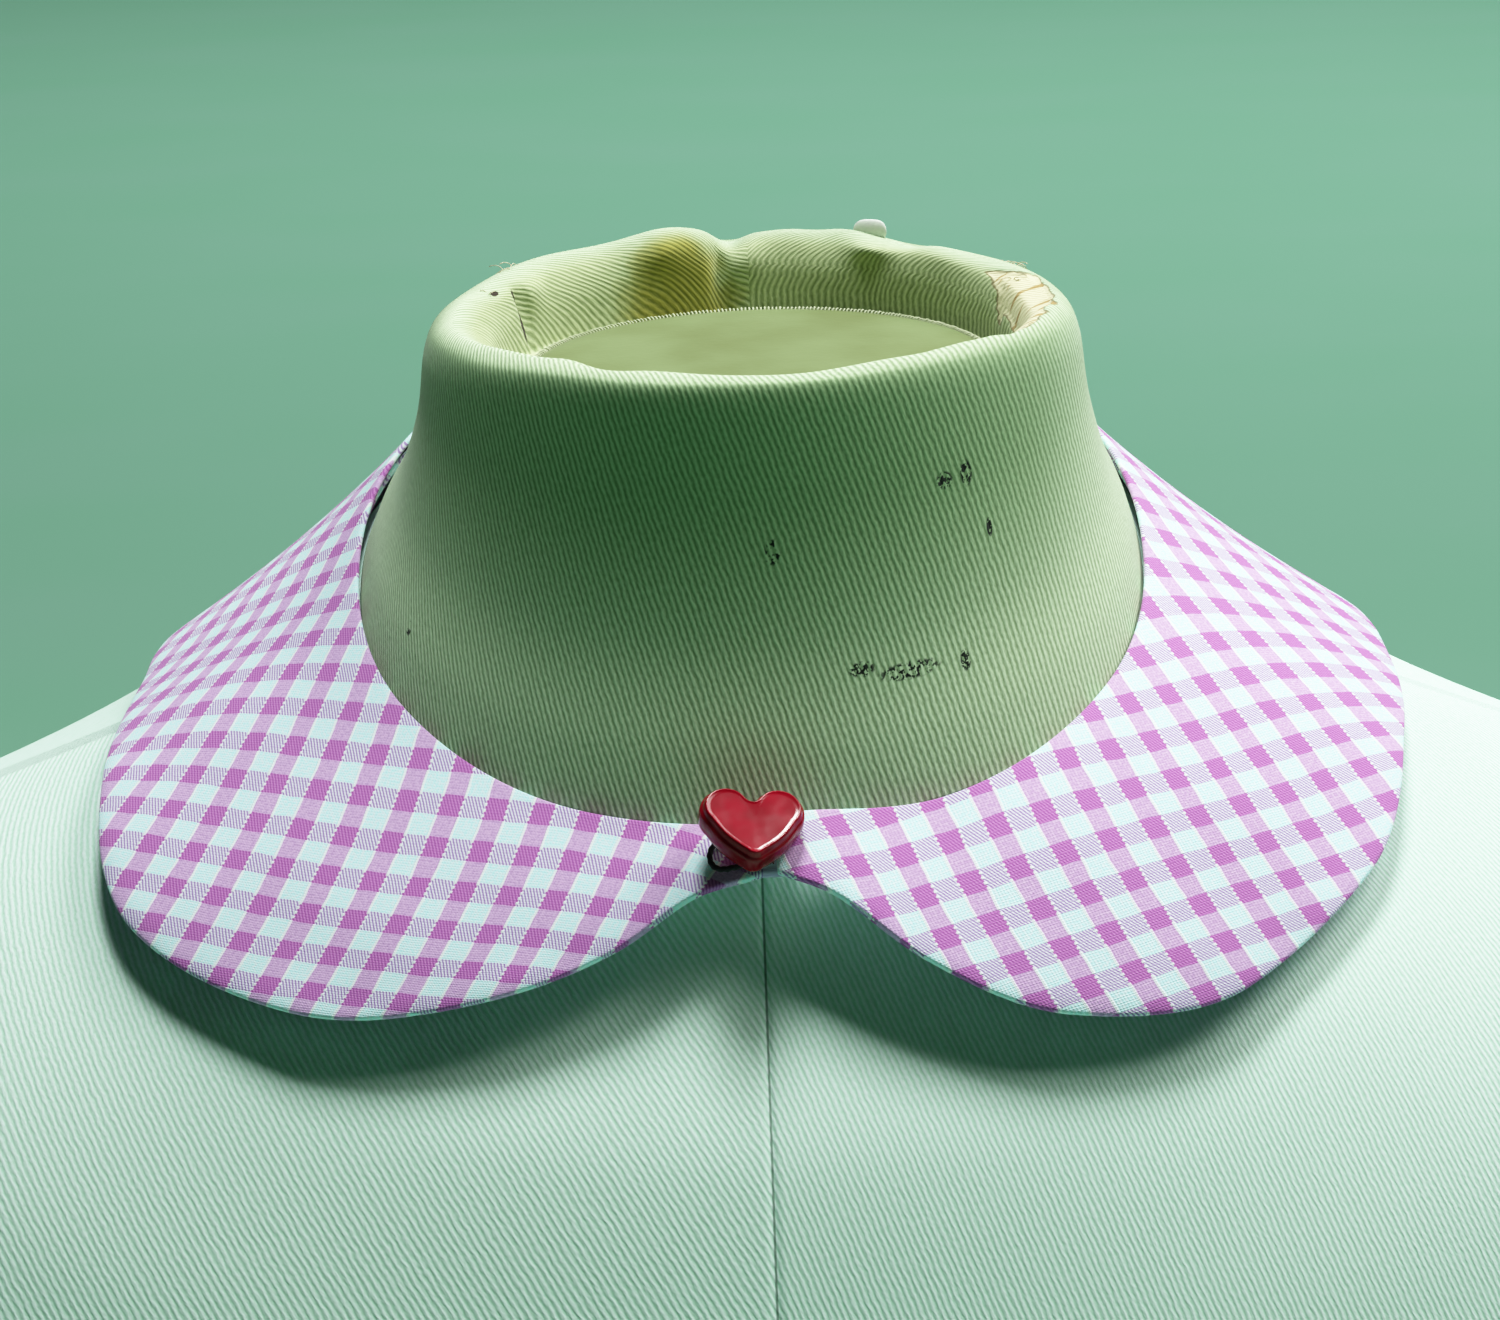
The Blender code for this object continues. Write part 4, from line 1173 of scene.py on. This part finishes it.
def finish_tree(tree, node, made, finish):
    """Ends a tree with plain meshes of one material."""
    made = node("GeometryNodeRealizeInstances", (made,))
    made = node("GeometryNodeSetMaterial", {"Geometry": made, "Material": finish})
    tree.links.new(made, tree.nodes.new("NodeGroupOutput").inputs[0])
    return tree


def stitch_tree(finish):
    """Stitches that each bend over a path, evenly spaced and a little uneven in size."""
    tree, node = path_tree("stitches_over_a_path", {
        "Spacing": "NodeSocketFloat", "Reach": "NodeSocketFloat", "Thread": "NodeSocketFloat",
        "Up": "NodeSocketVector", "Seed": "NodeSocketInt"})
    given = partial(node, "NodeGroupInput", ())
    path = node("GeometryNodeMeshToCurve", (given("Path"),))
    spaced = node("GeometryNodeResampleCurve", {"Curve": path, "Length": given("Spacing")}, mode="LENGTH")
    bend = node("GeometryNodeCurveArc", {"Resolution": STITCH_STEPS, "Radius": given("Reach"),
                                         "Start Angle": math.radians(-15), "Sweep Angle": math.radians(210)})
    thread = node("GeometryNodeCurvePrimitiveCircle", {"Resolution": STITCH_SIDES, "Radius": given("Thread")})
    stitch = node("GeometryNodeCurveToMesh", {"Curve": bend, "Profile Curve": thread, "Fill Caps": True})
    along = node("FunctionNodeAlignRotationToVector", {"Vector": node("GeometryNodeInputTangent")}, axis="Z")
    turned = node("FunctionNodeAlignRotationToVector", {"Rotation": along, "Vector": given("Up")},
                  axis="Y", pivot_axis="Z")
    size = node("FunctionNodeRandomValue", {2: 0.9, 3: 1.08, "Seed": given("Seed")}, 1)
    made = node("GeometryNodeInstanceOnPoints", {"Points": spaced, "Instance": stitch, "Rotation": turned,
                                                 "Scale": size})
    return finish_tree(tree, node, made, finish)


def strand_tree(finish):
    """Thin strands that follow their paths."""
    tree, node = path_tree("strands_on_paths", {"Thread": "NodeSocketFloat"})
    path = node("GeometryNodeMeshToCurve", (node("NodeGroupInput", (), "Path"),))
    thread = node("GeometryNodeCurvePrimitiveCircle", {
        "Resolution": STITCH_SIDES, "Radius": node("NodeGroupInput", (), "Thread")})
    made = node("GeometryNodeCurveToMesh", {"Curve": path, "Profile Curve": thread, "Fill Caps": True})
    return finish_tree(tree, node, made, finish)


def grown_on(name, lines, closed, tree, sizes):
    """What a tree makes along lines of places, as one plain mesh piece."""
    vertices, edges = [], []
    for line in lines:
        first = len(vertices)
        vertices += line
        edges += [(first + k, first + k + 1) for k in range(len(line) - 1)]
        if closed:
            edges.append((first + len(line) - 1, first))
    guide = bpy.data.meshes.new(name)
    guide.from_pydata(in_world(vertices), edges, [])
    made = bpy.data.objects.new(name, guide)
    bpy.context.scene.collection.objects.link(made)
    growing = made.modifiers.new(name, "NODES")
    growing.node_group = tree
    for item in tree.interface.items_tree:
        if item.in_out == "INPUT" and item.name in sizes:
            growing[item.identifier] = sizes[item.name]
    mesh = bpy.data.meshes.new_from_object(made.evaluated_get(bpy.context.evaluated_depsgraph_get()))
    made.modifiers.remove(growing)
    made.data = mesh
    mesh.shade_smooth()
    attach(made, "root")
    return made


def cap_overlock(tree):
    """The overlocked edge of the cap's lining."""
    floor = NECK_COVER[-1]
    share = OVERLOCK_SHARE
    row = tilted_ring(CAP_HALF_WIDTH * share, CAP_FRONT * share, CAP_BACK * share,
                      floor[3] + SEAM_GAP + OVERLOCK_HEIGHT, RECESS_SLOPE, 2.0, floor[8] + CAP_SHIFT)
    line = [ring_point(row, 2 * math.pi * k / CAP_STEPS_ROUND) for k in range(CAP_STEPS_ROUND)]
    return grown_on("cap_overlock", [line], True, tree, {
        "Spacing": 0.62 * MM, "Reach": 0.62 * MM, "Thread": 0.15 * MM, "Up": (0.0, -0.1, 1.0), "Seed": 3})


def on_neck_cover(degrees, at):
    """A place on the finished neck cover."""
    numbered = [(k, *row) for k, row in enumerate(NECK_COVER)]
    row = [monotone(numbered, column, at) for column in range(1, 10)]
    turn = math.radians(degrees)
    return neck_shape(ring_point(row, turn), turn, at)


def rim_fray(tree):
    """Loose threads where the rim's cloth is worn through."""
    chance = random.Random(11)
    lines = []
    for degrees, at, count, length in RIM_FRAYS:
        for _ in range(count):
            place = on_neck_cover(degrees + chance.uniform(-3, 3), at + chance.uniform(-0.15, 0.15))
            way = Vector((place.x, place.y, 0)).normalized() * chance.uniform(-0.3, 0.9)
            way += Vector((chance.uniform(-0.7, 0.7), chance.uniform(-0.7, 0.7), chance.uniform(0.2, 0.9)))
            step = length * chance.uniform(0.5, 1.0) / 7
            line = [place - way.normalized() * step * 0.5]
            for _ in range(7):
                bend = Vector((chance.uniform(-0.3, 0.3), chance.uniform(-0.3, 0.3), -0.22))
                way = way.normalized() + bend
                line.append(line[-1] + way.normalized() * step)
            lines.append(line)
    return grown_on("rim_fray", lines, False, tree, {"Thread": 0.07 * MM})


def rim_tab(finish):
    """The end of a folded tape that stands up behind the rim."""
    base = on_neck_cover(TAB_TURN, 5.8)
    turn = math.radians(TAB_TURN)
    along, outward = Vector((math.cos(turn), math.sin(turn), 0)), Vector((math.sin(turn), -math.cos(turn), 0))
    vertices, faces = [], []
    rings, sides = 14, 28
    for level in range(1, rings):
        polar = math.pi * level / rings
        for k in range(sides):
            angle = 2 * math.pi * k / sides
            width, thick = TAB_HALF_WIDTH * power(math.cos(angle), 2.6), TAB_HALF_THICKNESS * math.sin(angle)
            ring = math.sin(polar) ** 0.6
            height = TAB_HALF_HEIGHT * math.cos(polar)
            bend = 0.10 * height * height
            vertices.append(base + along * width * ring + outward * (thick * ring + bend)
                            + Vector((0, 0, height + TAB_RISE)))
    for level in range(rings - 2):
        for k in range(sides):
            a, b = level * sides + k, level * sides + (k + 1) % sides
            faces.append((a, a + sides, b + sides, b))
    for level, end in ((0, 1), (rings - 2, -1)):
        hub = len(vertices)
        bend = 0.10 * TAB_HALF_HEIGHT**2
        vertices.append(base + outward * bend + Vector((0, 0, end * TAB_HALF_HEIGHT + TAB_RISE)))
        faces += [(hub, level * sides + k, level * sides + (k + 1) % sides) for k in range(sides)]
    return tidy_shell(piece_from("rim_tab", in_world(vertices), faces, finish))


def loop_tacking(tree):
    """The stitches that hold the loop's two ends to the collar's right end."""
    height = PLY_OFFSET + PLY / 2 + LOOP_CLEARANCE + LOOP_RADIUS * 0.6
    lines = []
    for share in LOOP_SHARES:
        arcs = [LOOP_START_ARC - 0.1 - 0.35 * k for k in range(5)]
        lines.append([collar_surface(
            arc, share, height + LOOP_END_RISE * smoothstep(0.0, LOOP_START_ARC, arc))[0]
                      for arc in arcs])
    up = collar_surface(0.0, 0.5, 0.0)[1]
    return grown_on("loop_tacking", lines, False, tree, {
        "Spacing": 0.5 * MM, "Reach": (LOOP_RADIUS + 0.12) * MM, "Thread": 0.1 * MM,
        "Up": tuple(up), "Seed": 5})


def area_light(name, place, target, size, energy, colour, spread=180):
    light = bpy.data.lights.new(name, "AREA")
    light.shape = "SQUARE"
    light.size = size
    light.spread = math.radians(spread)
    light.energy = energy
    light.color = linear(colour)[:3]
    lamp = bpy.data.objects.new(name, light)
    bpy.context.scene.collection.objects.link(lamp)
    way = Vector(target) - Vector(place)
    lamp.matrix_world = Matrix.Translation(place) @ way.to_track_quat("-Z", "Y").to_matrix().to_4x4()
    return lamp


def floor_and_light():
    mesh = bpy.data.meshes.new("floor")
    half = 30.0
    mesh.from_pydata([(-half, -half, 0), (half, -half, 0), (half, half, 0), (-half, half, 0)], [],
                     [(0, 1, 2, 3)])
    mesh.materials.append(pale_floor_material())
    floor = bpy.data.objects.new("floor", mesh)
    bpy.context.scene.collection.objects.link(floor)
    world = bpy.data.worlds.new("studio")
    world.use_nodes = True
    background = world.node_tree.nodes["Background"]
    background.inputs["Color"].default_value = linear("#A8D8B4")
    background.inputs["Strength"].default_value = 0.035
    bpy.context.scene.world = world
    area_light("key_high_right", (0.85, 0.08, 1.62), (0.0, 0.0, 0.5), 0.8, 20.5, "#FFFEFA")
    area_light("overhead", (0.03, 0.11, 1.9), (0.0, 0.0, 0.5), 0.35, 21.5, "#FAFFFC")
    area_light("backdrop_near", (1.5, 3.6, 3.2), (0.0, 5.5, 0.0), 3.0, 42.0, "#F6FFFA")
    area_light("backdrop_far", (0.8, 6.0, 5.0), (0.0, 8.5, 0.0), 3.0, 106.0, "#F6FFFA")
    for side, x, y in (("front", 0, -1), ("left", -1, 0), ("right", 1, 0)):
        area_light("floor_" + side, (x * 6.0, y * 6.0, 5.0), (x * 8.0, y * 8.0, 0.0),
                   3.0, 90.0, "#F6FFFA", 100)


def photo_camera():
    """The photograph's view: a little above the collar, turned by two degrees, with a long lens."""
    tilt, roll = math.radians(12.0), math.radians(2.0)
    distance, pixels_per_radian = 850.0, 850.0 / 0.155
    forward = Vector((0, math.cos(tilt), -math.sin(tilt)))
    right = Vector((1, 0, 0))
    up = right.cross(forward)
    turned_right = right * math.cos(roll) - up * math.sin(roll)
    turned_up = up * math.cos(roll) + right * math.sin(roll)
    shift_right, shift_down = ((751 - 750) / pixels_per_radian * distance,
                               (566 - 660) / pixels_per_radian * distance)
    place = -(forward * distance + turned_right * shift_right - turned_up * shift_down)
    data = bpy.data.cameras.new("photo_camera")
    data.sensor_width = 36.0
    data.lens = pixels_per_radian / 1500 * 36.0
    data.clip_end = 100.0
    camera = bpy.data.objects.new("photo_camera", data)
    bpy.context.scene.collection.objects.link(camera)
    camera.matrix_world = Matrix.Translation(to_world(place)) @ Matrix(
        (turned_right, turned_up, -forward)).transposed().to_4x4()
    bpy.context.scene.camera = camera


def print_tones():
    """The photograph's tones: highlights roll off before they clip, and the darks lie a little deeper."""
    view = bpy.context.scene.view_settings
    view.view_transform = "Standard"
    view.use_curve_mapping = True
    tones = view.curve_mapping
    tones.white_level = (TONE_WHITE,) * 3
    points = tones.curves[3].points
    for light in TONE_STEPS:
        shown = 1 - math.exp(-(TONE_GAIN * light) ** TONE_STEEPNESS)
        points.new(light / TONE_WHITE, shown / TONE_TOP)
    points[-1].location = (1.0, 1.0)
    tones.update()


def main():
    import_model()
    gingham = gingham_material()
    neck_twill = aged_and_shaded_neck_material()
    body_twill = body_twill_material()

    neck_turns = seam_crowded_turns(NECK_STEPS_ROUND, 0.6)
    torso_turns = seam_crowded_turns(TORSO_STEPS_ROUND, 0.9)
    neck = form_cover("neck_cover", "form_neck", neck_twill, NECK_COVER, NECK_ROWS_PER_RING,
                      neck_turns, neck_shape)
    torso = form_cover("torso_cover", "form_torso", body_twill, TORSO, TORSO_ROWS_PER_RING,
                       torso_turns, torso_shape)
    cap = neck_cap(cap_material())
    upper = collar_ply("upper_ply", "upper_collar", gingham, PLY_OFFSET, UPPER_NECK_REACH, 0.0)
    under = collar_ply("under_ply", "under_collar", gingham, -PLY_OFFSET, 0.0, UNDER_EDGE_INSET)
    heart_button(red_plastic())
    dark_cord = thread_material("dark_twisted_cord", "#2A2431", "#100D14")
    button_loop(dark_cord)
    loop_tacking(stitch_tree(dark_cord))
    cap_overlock(stitch_tree(thread_material("cream_overlock_thread", "#D3DABC", "#AEB893")))
    rim_fray(strand_tree(thread_material("frayed_cotton_yarn", "#E6E2CC", "#B9AE8A")))
    rim_tab(thread_material("white_cotton_tape", "#F8FBF6", "#E4EDE4"))

    floor_and_light()
    photo_camera()
    print_tones()


main()
